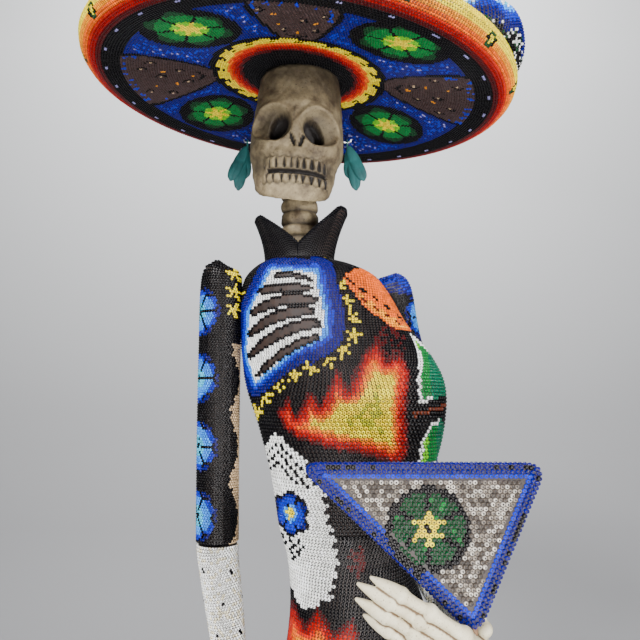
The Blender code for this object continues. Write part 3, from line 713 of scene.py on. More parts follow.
def dress():
    """Beads over the skirt and bodice, as one surface."""
    section = smooth(SECTIONS, 6)
    grid = oval_grid(section)
    points, normals = rows_on(grid[grid[:, 0, 2] > HEM_TOP], dress_pitch)
    height = points[:, 2]
    x = (points[:, 0] - NECK_X) / MM
    y = points[:, 1] / MM
    z = height / MM
    from_centre = points[:, 0] - np.interp(height, section[:, 0], section[:, 1])
    angle = np.arctan2(points[:, 1], from_centre)
    reach = np.hypot(points[:, 1], from_centre) / MM
    facing = np.sin(angle - np.radians(np.interp(height, section[:, 0], section[:, 5])))
    colours = blank(points)
    skirt_design(colours, (z < WAIST_Z) & ((z < FRONT_END_Z) | (y > 0)), angle, reach, z)
    back_design(colours, (facing > 0.30) & (z > WAIST_Z), x, z)
    front_design(colours, (facing < 0.16) & (z > FRONT_END_Z), x, z)
    sizes = np.array([dress_pitch(each) for each in height]) * BEAD_FILL
    set_beads("dress_beads", "figure", "black_beads", points, normals, colours, sizes)


def hem():
    """Royal-blue rows on the band round the hem."""
    low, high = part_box("hem_band")
    wide, deep = high[:2]
    rings = ((low[2] + 0.0004, 0), (high[2] - 0.0004, 0.0022), (high[2] + 0.0002, 0.0048))
    grid = oval_grid([(height, 0, 0, wide - lean, deep - lean, 0) for height, lean in rings])
    points, normals = rows_on(grid, HEM_PITCH)
    colours = blank(points, "royal")
    angle = np.arctan2(points[:, 1], points[:, 0])
    paint(colours, np.sin(angle * 40) > 0.75, "light_blue")
    set_beads("hem_beads", "figure", "blue_beads", points, normals, colours, 2.4 * MM)


# ---- collar

COLLAR_Z = 0.6235
COLLAR_R = 0.0215
COLLAR_FLARE = 0.013
COLLAR_FLARE_SKEW = 0.002
COLLAR_FRONT_Z = 0.6300
COLLAR_BACK_Z = 0.652
COLLAR_TIP_Z = 0.6525
COLLAR_TIP_SKEW = 0.0040
COLLAR_TIP_DEG = 48
COLLAR_TIP_WIDE = 30
COLLAR_WALL = 0.0012  # half of its thickness


def collar():
    """Black beads on the outside of the collar and along its edge, over bare clay."""
    degrees = np.arange(0, 360, 1.5)
    away = np.abs((degrees + 180) % 360 - 180)
    rise = np.clip(away / COLLAR_TIP_DEG, 0, 1)
    fall = np.clip((away - COLLAR_TIP_DEG) / (180 - COLLAR_TIP_DEG), 0, 1)
    skew = np.sin(np.radians(degrees))
    tip = COLLAR_TIP_Z + COLLAR_TIP_SKEW * skew
    top = COLLAR_FRONT_Z + (tip - COLLAR_FRONT_Z) * rise
    top = top + (COLLAR_BACK_Z - tip) * np.sin(fall * math.pi / 2)
    flare = COLLAR_FLARE + COLLAR_FLARE_SKEW * skew
    point = np.exp(-(((away - COLLAR_TIP_DEG) / COLLAR_TIP_WIDE) ** 2))
    angle = np.radians(degrees - 90)
    rings = []
    for share in np.linspace(0, 1, 12):
        radius = COLLAR_R + COLLAR_WALL + flare * share**1.6 * (0.45 + 0.55 * point)
        rings.append(round_neck(radius, angle, COLLAR_Z + (top - COLLAR_Z) * share))
    inner = round_neck(COLLAR_R - COLLAR_WALL + flare * (0.45 + 0.55 * point), angle, top + 0.0002)
    rings.append(rings[-1] * 0.5 + inner * 0.5 + np.array([0, 0, 0.0004]))
    rings.append(inner)
    points, normals = rows_on(np.array(rings), FINE_PITCH)
    set_beads("collar_beads", "figure", "black_beads", points, normals, blank(points), FINE_PITCH)


# ---- arms

RIGHT_SLEEVE = (
    (-0.0806, 0, 0.6215, 0.005),
    (-0.0816, 0, 0.619, 0.01),
    (-0.0829, 0, 0.609, 0.0131),
    (-0.0833, 0, 0.56, 0.0132),
    (-0.0832, 0, 0.5, 0.0131),
    (-0.0824, 0, 0.4405, 0.0129),
)
RIGHT_FOREARM = (
    (-0.0823, 0, 0.4388, 0.0126),
    (-0.0817, 0, 0.43, 0.0122),
    (-0.0772, 0, 0.4, 0.0112),
    (-0.0725, 0, 0.3665, 0.0095),
)
LEFT_SLEEVE = (
    (0.0325, 0.02, 0.6185, 0.005),
    (0.0335, 0.0205, 0.615, 0.01),
    (0.0355, 0.0215, 0.606, 0.0133),
    (0.0405, 0.0285, 0.58, 0.0135),
    (0.05, 0.04, 0.545, 0.0135),
    (0.055, 0.048, 0.505, 0.0135),
    (0.056, 0.051, 0.465, 0.0132),
)
LEFT_FOREARM = (
    (0.0561, 0.0513, 0.4636, 0.0126),
    (0.0566, 0.0512, 0.443, 0.0122),
    (0.059, 0.038, 0.419, 0.0118),
    (0.0645, 0, 0.404, 0.011),
    (0.0655, -0.048, 0.399, 0.01),
    (0.0652, -0.0665, 0.3992, 0.0095),
)


def arm_beads(side, piece, rows, design, slot, close=False):
    """Beads along a piece of an arm, in rings square to it whose first point faces +X.

    design gives their colours from their places, the angle round the piece, and the share of its length.
    """
    line = smooth(rows, 8)
    ahead = unit(np.gradient(line[:, :3], axis=0))
    across = np.tile([1.0, 0.0, 0.0], (len(line), 1))
    across = unit(across - (across * ahead).sum(1)[:, None] * ahead)
    grid = tube(line, across, np.cross(ahead, across))[:, ::-1]
    if close:
        middle = line[-1, :3]
        grid = np.concatenate([grid, [middle + (grid[-1] - middle) * share for share in (0.95, 0.75, 0.45)]])
    points, normals = rows_on(grid, FINE_PITCH)
    nearest, spoke, normals = spokes(points, normals, line[:, :3])
    colours = design(points, np.arctan2(spoke[:, 1], spoke[:, 0]), nearest / len(line))
    set_beads(f"{side}_{piece}_beads", "figure", slot, points, normals, colours, FINE_PITCH * BEAD_FILL)


# Sleeve design, in millimetres
SLEEVE_R = 13.2
SLEEVE_FLOWER_TOP = 588.6
SLEEVE_FLOWER_STEP = 43.7
STRIP_WAVE_Z = 522


def sleeve_design(outward, jagged):
    """Blue flowers in a column on the outer side.

    jagged is the direction of a ragged beige strip. Without it, the shoulder is blue.
    """

    def design(points, angle, share):
        colours = blank(points)
        z = points[:, 2] / MM
        u = wrapped(angle - outward) * SLEEVE_R
        if jagged is not None:
            wave = np.cos((z - STRIP_WAVE_Z) * 2 * math.pi / SLEEVE_FLOWER_STEP)
            reach = 8.0 + 4.2 * wave + 1.1 * np.sin(z * 0.9)
            strip = np.abs(wrapped(angle - jagged)) * SLEEVE_R - reach
            paint(colours, (strip < 0) & (z < 567) & (z > 440), "beige")
        for k in range(5):
            v = z - (SLEEVE_FLOWER_TOP - SLEEVE_FLOWER_STEP * k)
            away = np.hypot(u, v)
            paint(colours, away < 19.5, "black")
            paint(colours, away < 16.6, "royal")
            flower(colours, u, v, 15.6, ("cyan", "light_blue", "mid_blue"), "black", 0.52, 1.4)
            paint(colours, away < 2.2, "black")
            heart = (away > 2.2) & (away < 6.5)
            paint(colours, heart & (np.abs(np.sin(3 * np.arctan2(v, u))) > 0.4), "cyan")
        if jagged is not None:
            across = (points[:, 0] - NECK_X) / MM
            for number, height in enumerate((614, 602, 590)):
                splat(colours, points[:, 1] < 0, across + 43, z - height, 0.4 + 2.3 * number)
        else:
            paint(colours, z > 604, "royal")
            scatter(colours, z > 606, 0.4, "mid_blue")
        return colours

    return design


def forearm_design(points, angle, share):
    """White beads with a beige first row and a few dark marks."""
    colours = blank(points, "ivory")
    scatter(colours, True, 0.8, "white")
    paint(colours, share < 0.04, "beige")
    z = points[:, 2] / MM
    marks = (np.sin(z * 0.33) > 0.86) & (np.abs(np.sin(angle * 2 + z * 0.1)) < 0.16)
    paint(colours, marks, "black")
    return colours


def arms():
    """Beads on both sleeves, then on both forearms."""
    right = sleeve_design(math.radians(-153), math.radians(8))
    arm_beads("right", "sleeve", RIGHT_SLEEVE, right, "black_beads", True)
    arm_beads("left", "sleeve", LEFT_SLEEVE, sleeve_design(0.1, None), "black_beads", True)
    arm_beads("right", "forearm", RIGHT_FOREARM, forearm_design, "white_beads")
    arm_beads("left", "forearm", LEFT_FOREARM, forearm_design, "white_beads")


# ---- fan

FAN_PITCH = 2.4 * MM
FAN_CORNERS = ((-0.0265, 0.4990), (0.0950, 0.4990), (0.0585, 0.4190))
FAN_CORNER_R = 0.007
FAN_FLOWER = (0.0365, 0.4685)
FAN_FLOWER_R = 17.5  # mm
FAN_ROW = FAN_PITCH * 0.90  # between the rows that follow the border
FAN_BORDER_ROWS = 3


def fan_outline():
    """The fan's triangle with rounded corners."""
    corners = np.array(FAN_CORNERS)
    t = np.linspace(0, 1, 9)[:, None]
    outline = []
    for i, corner in enumerate(corners):
        start = corner + unit(corners[i - 1] - corner) * FAN_CORNER_R * 1.5
        end = corner + unit(corners[(i + 1) % 3] - corner) * FAN_CORNER_R * 1.5
        outline.append(start * (1 - t) ** 2 + corner * 2 * t * (1 - t) + end * t * t)
    return np.vstack(outline)


def fan_colours(x, z):
    """Blue border rows, a pearly field, and a dark flower with a yellow star."""
    away = -outline_distance(x, z, fan_outline()) / MM
    colours = blank(x, "pearl")
    chance = rng.random(len(x))
    paint(colours, chance < 0.34, "pearl_light")
    paint(colours, chance > 0.72, "pearl_dark")
    bands(colours, away < 6.6, away, ((4.5, "royal"), (6.6, "mid_blue")))
    scatter(colours, away < 2.2, 0.3, "black")
    u = (x - FAN_FLOWER[0]) / MM
    v = (z - FAN_FLOWER[1]) / MM
    away = np.hypot(u, v)
    paint(colours, away < FAN_FLOWER_R + 3.0, "black")
    angle = np.arctan2(v, u)
    petal = (away < FAN_FLOWER_R) & (np.abs(np.cos(3 * angle)) * away > 3.4)
    paint(colours, petal, "dark_green")
    paint(colours, petal & (chance < 0.05), "green")
    arm = 4.0 + 5.2 * np.abs(np.sin(3 * angle)) ** 2.2
    paint(colours, away < arm, "yellow")
    paint(colours, away < 1.6, "black")
    return colours


def fan_spots(line, shift):
    """Distances of beads along a closed line, shifted by a share of their spacing, and its whole length."""
    length = distance_along(line)[-1]
    count = int(length / FAN_PITCH)
    return (np.arange(count) + shift) / count * length, length


def fan_rows():
    """Places in rows that follow the border first, then fill the middle in a hexagonal net."""
    outline = fan_outline()
    places = []
    edge = np.roll(outline, -1, axis=0) - np.roll(outline, 1, axis=0)
    inward = unit(np.stack([-edge[:, 1], edge[:, 0]], -1))
    if ((outline.mean(axis=0) - outline) * inward).sum() < 0:
        inward = -inward
    for ring in range(FAN_BORDER_ROWS):
        line = outline + inward * ((ring + 0.5) * FAN_ROW)
        closed = np.vstack([line, line[:1]])
        places.append(places_on(closed, fan_spots(closed, 0.5 * (ring % 2))[0]))
    low, high = outline.min(axis=0), outline.max(axis=0)
    net = []
    for row in range(int((high[1] - low[1]) / (FAN_PITCH * ROW)) + 1):
        z = high[1] - row * FAN_PITCH * ROW
        for x in np.arange(low[0] + 0.5 * (row % 2) * FAN_PITCH, high[0], FAN_PITCH):
            net.append((x, z))
    net = np.array(net)
    inside = outline_distance(*net.T, outline) < -FAN_BORDER_ROWS * FAN_ROW - 0.35 * FAN_PITCH
    return np.vstack([*places, net[inside]])


def fan_beads(side, points, normals, colours):
    """Sets one of the fan's three groups of beads."""
    set_beads(f"fan_{side}_beads", "figure", "pearl_beads", points, normals, colours, FAN_PITCH, 8)


def fan():
    """Beads on both faces of the fan and round its edge."""
    flat = fan_rows()
    for side, y, way in (("front", fan_low[1], -1.0), ("back", fan_high[1], 1.0)):
        points = np.insert(flat, 1, y, axis=1)
        fan_beads(side, points, np.tile([0.0, way, 0.0], (len(flat), 1)), fan_colours(*flat.T))
    outline = fan_outline()
    closed = np.vstack([outline, outline[:1]])
    points, normals = [], []
    for row, y in enumerate((fan_low[1] + 0.0014, fan_high[1] - 0.0014)):
        spots, length = fan_spots(closed, 0.5 * row)
        place = places_on(closed, spots % length)
        way = places_on(closed, (spots + 0.001) % length) - place
        points.append(np.insert(place, 1, y, axis=1))
        normals.append(unit(np.stack([way[:, 1], 0 * spots, -way[:, 0]], -1)))
    points, normals = np.vstack(points), np.vstack(normals)
    if ((points - points.mean(axis=0)) * normals).sum() < 0:
        normals = -normals
    fan_beads("edge", points, normals, blank(points, "royal"))


# ---- hat

BRIM_CONE_R = 0.055
BRIM_FLAT_R = 0.128
BRIM_FALL = 0.013
BRIM_T = 0.005
# Rim, from the underside over the lip to the top: radius, height
RIM = (
    (0.133, -0.0137),
    (0.1385, -0.013),
    (0.143, -0.0108),
    (0.146, -0.0072),
    (0.147, -0.003),
    (0.1455, 0.001),
    (0.142, 0.0025),
)
RIM_TOP = (0.1340, -0.0010)
OPENING_HALF = (26.0, 29.5)  # mm
CROWN_R = 0.060
CROWN_TOP = 0.076
HATBAND_H = 0.012
HAT_COLUMNS = 480


def on_hat(points, normals):
    """Brings places and directions from the hat's own frame to the figure's."""
    roll = Matrix.Rotation(math.radians(HAT_ROLL), 3, "Y")
    tip = Matrix.Rotation(math.radians(HAT_TIP), 3, "X")
    turn = np.array(roll @ tip)
    return points @ turn.T + np.array((NECK_X, 0, HAT_Z)), normals @ turn.T


def hat_beads(name, slot, profile, design):
    """Beads on a turned surface of the hat; design gives the colours from places in the hat's frame."""
    grid = turned_grid(profile, HAT_COLUMNS)
    grid[..., 0] -= NECK_X
    points, normals = rows_on(grid, FINE_PITCH)
    colours = design(points / MM, normals)
    set_beads(name, "hat", slot, *on_hat(points, normals), colours, FINE_PITCH)


# The rainbow of the rim, by the distance round it in mm
RIM_STEPS = ((1.5, "black"), *zip((5.0, 8.5, 11.5, 14.5, 17.5, 90), FIRE_COLOURS))
# The rainbow ring round the head, by its radius in mm
RING_STEPS = (
    (38.5, "black"),
    *zip((41.0, 44.0, 46.5, 49.0), FIRE_COLOURS),
    (57, "yellow"),
    (60, "black"),
)
# Number of eyes on the rim, and their distance from the middle in mm
RIM_EYES = 14
RIM_EYES_R = 144


def rim_eyes(colours, where, angle, out):
    """Small eyes on the rim: a yellow centre in a dark ring. out is the distance along the rim, in mm."""
    for k in range(RIM_EYES):
        u = wrapped(angle - 0.20 - 2 * math.pi * k / RIM_EYES) * RIM_EYES_R
        away = np.hypot(u, (out - 17.0) * 1.1)
        paint(colours, where & (away < 4.8), "dark_green")
        paint(colours, where & (away < 4.8) & (np.abs(u) > 2.6), "black")
        paint(colours, where & (away < 2.3), "yellow")


# Flowers under the brim: across, along and radius
UNDER_FLOWERS = ((-62, -77, 26), (62, -84, 26), (-68, 58, 25), (67, 53, 25))
# Tapering panels: direction in degrees, half width at its wide end
UNDER_PANELS = ((182, 39), (-8, 37), (-89, 24), (90, 24))
PANEL_START = 60
# Dots and hooks on a panel: outwards and sideways
PANEL_DOTS = ((76, 0), (94, 11), (103, -12), (88, -10))
PANEL_HOOKS = ((80, -8), (97, 3), (107, 16), (83, 10), (109, -20), (99, 25), (94, -24))
# The ring's middle and radius, and the radii between which the rest is drawn
RING_MIDDLE = (-1, -7)
RING_END = 60
FIELD_START = 58.5
FIELD_END = 123


def under_design(places, normals):
    """The underside of the brim: ring, four flowers, tapering panels and blue lenses between them."""
    x, y, height = places.T
    r = np.hypot(x, y)
    angle = np.arctan2(y, x)
    ring_r = np.hypot(x - RING_MIDDLE[0], y - RING_MIDDLE[1])
    ring_angle = np.arctan2(y - RING_MIDDLE[1], x - RING_MIDDLE[0])
    colours = blank(x)
    field = (ring_r > FIELD_START) & (r < FIELD_END)
    nearest = np.minimum(ring_r - FIELD_START, FIELD_END - 1 - r)
    for fx, fy, radius in UNDER_FLOWERS:
        nearest = np.minimum(nearest, np.hypot(x - fx, y - fy) - radius - 1.5)
    panels = []
    for way, wide in UNDER_PANELS:
        a = math.radians(way)
        ahead = x * math.cos(a) + y * math.sin(a)
        side = -x * math.sin(a) + y * math.cos(a)
        swell = np.clip((ahead - PANEL_START) / 48, 0, 1) ** 0.7
        half = 5 + (wide - 5) * swell
        away = np.maximum(np.abs(side) - half, np.maximum(PANEL_START - ahead, r - 121))
        nearest = np.minimum(nearest, away)
        panels.append((away, ahead, side))
    blue = field & (nearest > 2.8)
    paint(colours, blue, "royal")
    glint = blue & (nearest > 6)
    scatter(colours, glint, 0.30, "mid_blue")
    scatter(colours, glint & (nearest > 8), 0.05, "lavender")
    for away, ahead, side in panels:
        panel = field & (away < 0)
        paint(colours, panel, "taupe")
        for px, py in PANEL_DOTS:
            spot = np.hypot(ahead - px, side - py)
            paint(colours, panel & (spot < 1.3), "amber")
        for px, py in PANEL_HOOKS:
            hook = np.hypot(ahead - px, side - py)
            paint(colours, panel & (hook < 3.6) & (hook > 2.0) & (side > py - 1), "black")
            paint(colours, panel & (hook < 1.2), "beige")
        chest = np.abs(ahead - 68 - 0.6 * np.abs(side)) < 1.2
        paint(colours, panel & chest & (np.abs(side) < 7), "black")
        frill = panel & (away > -4.5) & (ahead > 100) & (np.sin(side * 0.75) > 0.2)
        scatter(colours, frill, 0.5, "mid_blue")
        paint(colours, field & (away >= 0) & (away < 2.8), "black")
    for fx, fy, radius in UNDER_FLOWERS:
        turn = math.atan2(fy, fx) + 0.5
        flower(colours, x - fx, y - fy, radius, GREEN_PETALS, turn=turn, outline=2.5, where=field)
    ring = ring_r < RING_END
    bands(colours, ring, ring_r, RING_STEPS)
    turn = ring_angle * 20
    paint(colours, ring & (ring_r > 54.2) & (ring_r < 57.2) & (np.sin(turn) > 0.45), "black")
    paint(colours, ring & (ring_r > 51.4) & (ring_r < 53.4) & (np.sin(turn + 0.9) > 0.62), "black")
    pair = (np.abs(r - 130.5) < 1.15) & (np.abs(wrapped(angle * 28 + 0.6)) / 28 * 130 < 2.1)
    paint(colours, pair, "lavender")
    line = np.array([(BRIM_FLAT_R, -BRIM_FALL), *RIM]) / MM
    along = distance_along(line)
    near = np.hypot(r[:, None] - line[None, :, 0], height[:, None] - line[None, :, 1])
    first = np.clip(near.argmin(axis=1), 1, len(line) - 1)
    step = line[first] - line[first - 1]
    length = np.hypot(*step.T)
    share = ((r - line[first - 1, 0]) * step[:, 0] + (height - line[first - 1, 1]) * step[:, 1]) / length**2
    out = along[first - 1] + np.clip(share, -0.5, 1.5) * length - 3.0
    rim = ((r > 133.5) | (normals[:, 2] > 0)) & (r > 120)
    bands(colours, rim, out, RIM_STEPS)
    rim_eyes(colours, rim, angle, out)
    hole = (x / OPENING_HALF[0]) ** 2 + ((y - 1.7) / OPENING_HALF[1]) ** 2 < 1.04
    paint(colours, hole, None)
    return colours


def brim():
    """Beads under the brim, round its rim, and over its top."""
    under = [(0.0240, 0), (BRIM_CONE_R, 0), (BRIM_FLAT_R, -BRIM_FALL), *RIM]
    hat_beads("hat_under_beads", "green_beads", under, under_design)
    top = [
        RIM[-1],
        RIM_TOP,
        (BRIM_FLAT_R - 0.002, BRIM_T - BRIM_FALL),
        (CROWN_R + 0.007, BRIM_T),
        (CROWN_R + 0.0052, BRIM_T),
    ]
    hat_beads("hat_top_beads", "green_beads", top, top_design)


def top_design(places, normals):
    """The upper side of the brim: flames outwards, and a ring of flowers."""
    x, y = places.T[:2]
    r = np.hypot(x, y)
    colours = blank(x)
    tongue = tongues(np.arctan2(y, x), 18)
    flame(colours, r > 104, np.minimum((r - 106 - 14 * tongue) * 0.9, 13))
    for k in range(8):
        way = 2 * math.pi * (k + 0.5) / 8
        u = x - 86 * math.cos(way)
        v = y - 86 * math.sin(way)
        halo(colours, True, np.hypot(u, v), 15, ((3, "black"), (4.6, "light_blue"), (7, "royal")))
        flower(colours, u, v, 15, BLUE_PETALS if k % 2 else GREEN_PETALS, turn=way)
    return colours


def crown_design(places, normals):
    """Zigzag bands that rise round the crown, to a yellow top."""
    x, y, height = places.T
    share = height / (CROWN_TOP / MM)
    level = share * 62 - np.hypot(x, y) / (CROWN_R / MM) * 22 - 10 * tongues(np.arctan2(y, x), 10)
    steps = (
        (2, "black"), (6, "royal"), (10, "mid_blue"), (14, "light_blue"), (17, "white"), (20, "black"),
        (24, "maroon"), (28, "red"), (33, "orange"), (38, "amber"), (99, "yellow"),
    )
    colours = blank(x, "royal")
    bands(colours, True, level, steps)
    return colours


def band_design(places, normals):
    """Yellow lozenges on the red hatband."""
    x, y, height = places.T
    wave = 3.4 * np.abs(np.sin(np.arctan2(y, x) * 24))
    away = np.abs(height - (BRIM_T + HATBAND_H / 2) / MM)
    colours = blank(x, "red")
    paint(colours, away < 3.4, "yellow")
    paint(colours, (away < wave) & (away < 2.6), "black")
    return colours


def crown():
    """Beads over the crown and round the hatband."""
    low = BRIM_T + 0.0003
    rise = CROWN_TOP - low
    start = math.asin(HATBAND_H / rise)
    angle = math.pi / 2 - (math.pi / 2 - start) * np.linspace(1, 0.01, 40) ** 1.5
    profile = np.stack([CROWN_R * np.cos(angle) ** 0.6, low + rise * np.sin(angle)], -1)
    hat_beads("hat_crown_beads", "blue_beads", profile, crown_design)
    outer = CROWN_R + 0.0045
    high = low + HATBAND_H
    profile = ((outer, low + 0.0003), (outer - 0.0004, high - 0.0003), (outer - 0.0040, high + 0.0002))
    hat_beads("hat_band_beads", "red_beads", profile, band_design)


PLUME = (
    (0.066, -0.034, 0.013, 0.004),
    (0.098, -0.066, 0.0165, 0.011),
    (0.122, -0.062, 0.019, 0.014),
    (0.137, -0.034, 0.0195, 0.0145),
    (0.14, 0, 0.0185, 0.012),
    (0.134, 0.034, 0.013, 0.004),
)
PLUME_FLAT = 0.62  # its half width as a share of its half height


def plume():
    """Beads on the plume: black with white points low down, then blue, then cyan and white at its edge."""
    line = smooth(PLUME, 8)
    ahead = np.gradient(line[:, :3], axis=0)
    side = unit(np.cross(ahead, [0.0, 0.0, 1.0]))
    up = unit(np.cross(side, ahead))
    points, normals = rows_on(tube(line, PLUME_FLAT * side, up), FINE_PITCH)
    nearest, spoke, normals = spokes(points, normals, line[:, :3])
    level = (spoke * up[nearest]).sum(axis=1) / line[nearest, 3] + 0.25 * np.sin(nearest * 0.9)
    colours = blank(points)
    steps = ((-0.35, "black"), (0.20, "royal"), (0.60, "mid_blue"), (0.88, "light_blue"), (9, "cyan"))
    bands(colours, True, level, steps)
    scatter(colours, level < -0.2, 0.22, "white")
    scatter(colours, level < -0.35, 0.12, "dark_green")
    scatter(colours, level > 0.80, 0.4, "white")
    set_beads("hat_plume_beads", "hat", "blue_beads", *on_hat(points, normals), colours, FINE_PITCH)


# ---- skull

# Height, centre across, centre in depth, half width, half depth: the CAD's sections
SKULL = (
    (0.6583, -0.0045, -0.011, 0.0225, 0.0195),
    (0.6622, -0.0044, -0.01, 0.0255, 0.022),
    (0.672, -0.004, -0.008, 0.0276, 0.025),
    (0.682, -0.0035, -0.006, 0.0288, 0.0275),
    (0.693, -0.0027, -0.003, 0.0315, 0.0315),
    (0.703, -0.002, -0.001, 0.0322, 0.0338),
    (0.722, -0.0012, 0.0005, 0.0308, 0.0345),
    (0.745, -0.0003, 0.0015, 0.0286, 0.033),
    (0.75, 0, 0.0018, 0.028, 0.0322),
    (0.7524, 0, 0.002, 0.0262, 0.03),
    (0.7545, 0, 0.002, 0.0236, 0.0266),
    (0.766, 0, 0.002, 0.0232, 0.0262),
    (0.7745, 0, 0.002, 0.0225, 0.0255),
)
FACE_X = -0.0020
FACE_SLOPE = 0.075
SKULL_COLUMNS = 300
SKULL_BEND = 0.86  # power that squares its level sections a little
JAW_Z = 0.700  # the underside is sheared below this height
JAW_H = 0.036
JAW_DROP = 0.10  # fall of the underside towards +X
JAW_RISE = 0.42  # rise of the underside behind the chin
CHIN_Y = -0.030
# above this height the skull is painted dark, as the shadow inside the hat
HAT_LINE_Z = 0.7515
EYE_TALL = 12.6
MOUTH_Z = 676.4


def bowl(x, z, cx, cz, rx, rz, power=2.0):
    """1 at the middle of an oval, falling to 0 at its edge."""
    away = np.hypot((x - cx) / rx, (z - cz) / rz)
    return np.clip(1 - away**power, 0, 1)


def ridge(value, width):
    """1 on a line, falling smoothly to 0 at width."""
    return np.exp(-((value / width) ** 2))


def skull_relief(x, z):
    """How far the face is carved in (positive) or built up (negative), in mm, and how dark it is painted:
    painted shade in its holes and sunken places, painted shadow of the hat along the top of the brow, and a
    dark wavy line down the nose.
    """
    deep = np.zeros_like(x)
    shade_and_marks = np.zeros_like(x)
    for side, lift, wide in ((-1, 0.4, 13.2), (1, -0.6, 12.4)):
        cx = side * 15.4
        cz = 707.8 + lift
        deep += 6.5 * bowl(x, z, cx, cz, wide, EYE_TALL, 2.6) ** 0.8
        hole_x = cx + (3.4 if side < 0 else -2.8)
        hole_z = cz - (0.5 if side < 0 else 2.0)
        hole = bowl(x + side * 0.25 * (z - hole_z), z, hole_x, hole_z, 7.2, 9.2, 3)
        deep += 9.0 * np.clip(hole * 3, 0, 1)
        # painted shade: dark down each eye hole
        shade_and_marks = np.maximum(shade_and_marks, np.clip(hole * 6, 0, 1))
        deep -= 1.5 * ridge(np.hypot((x - cx) / wide, (z - cz) / EYE_TALL) - 1.06, 0.16)
        # painted shade over each eye socket
        shade_and_marks = np.maximum(shade_and_marks, 0.62 * bowl(x, z, cx, cz, wide, EYE_TALL, 4))
    deep -= ridge(z - 724 + 0.008 * x * x, 3.4) * (np.abs(x) < 24)
    deep += 0.8 * ridge(z - 733, 5)
    # painted shadow of the hat's brim along the top of the brow
    shade_and_marks = np.maximum(shade_and_marks, 0.62 * ridge(z - 746, 15))
    deep -= 1.6 * (ridge(x + 0.3, 3.4) * bowl(x, z, 0, 705, 6, 15))
    # a dark wavy line down the nose
    shade_and_marks = np.maximum(shade_and_marks, 0.55 * ridge(x + 0.6 - 0.4 * np.sin(z), 0.7) * ((z > 708) & (z < 720)))
    for cx, lean in ((-1.8, 0.35), (4.2, -0.35)):
        slit = bowl(x + lean * (z - 697), z, cx, 697, 1.5, 4.8, 2)
        deep += 3.2 * np.clip(slit * 2, 0, 1)
        # painted shade in the nose holes
        shade_and_marks = np.maximum(shade_and_marks, np.clip(slit * 4, 0, 1))
    for side in (-1, 1):
        deep -= 1.7 * bowl(x, z, side * 22, 693.5, 10, 6.5)
        deep += 2.0 * bowl(x, z, side * 23, 682.5, 9, 8)
        # painted shade in the sunken cheeks
        shade_and_marks = np.maximum(shade_and_marks, 0.55 * bowl(x, z, side * 25, 682, 10, 9))
    deep -= 1.1 * bowl(x, z, 0, 679, 25, 14, 3)
    mouth = (np.abs(x - 1) < 19.5) * ridge(z - MOUTH_Z, 1.5)
    deep += 4.0 * mouth
    # painted shade in the open mouth
    shade_and_marks = np.maximum(shade_and_marks, np.clip(mouth * 2.2, 0, 1))
    for up, away, tall, spacing, start in ((1, 5.6, 4.0, 4.5, 0.65), (-1, 4.6, 3.2, 4.8, 0.85)):
        row = MOUTH_Z + up * away
        band = bowl(np.zeros_like(x), z, 0, row, 1, tall, 4) * (np.abs(x) < 21)
        phase = x / spacing + start + 0.12 * np.sin(x * 0.33)
        cell = phase - np.floor(phase) - 0.5
        wobble = np.sin(np.floor(phase) * 12.9)
        wedge = np.clip(0.45 - up * (z - row) / tall * 0.75, 0.05, 1.3)
        gap = ridge((0.5 - np.abs(cell)) * spacing, (0.45 + 0.75 * wedge) * (1 + 0.5 * wobble))
        deep += 2.3 * gap * band
        deep -= 0.8 * band * (1 - gap)
        # painted shade in the gaps between the teeth
        shade_and_marks = np.maximum(shade_and_marks, np.clip(1.7 * gap * band, 0, 1))
        groove = ridge(z - (row + up * tall) - 0.6 * np.cos(phase * 2 * math.pi), 0.8) * (np.abs(x) < 22)
        deep += 0.6 * groove
        # painted shade in the groove along each row of teeth
        shade_and_marks = np.maximum(shade_and_marks, 0.5 * groove)
    deep += 0.7 * ridge(np.abs(x) - 22, 1.2) * (z < 688) * (z > 664)
    return deep, np.clip(shade_and_marks, 0, 1)


def set_shade_and_marks(obj, values):
    """Stores how dark each point is painted, for its material: painted shade, and on the skull also a dark
    line down the nose.
    """
    layer = obj.data.attributes.new("hollow", "FLOAT", "POINT")
    layer.data.foreach_set("value", np.asarray(values, np.float32))


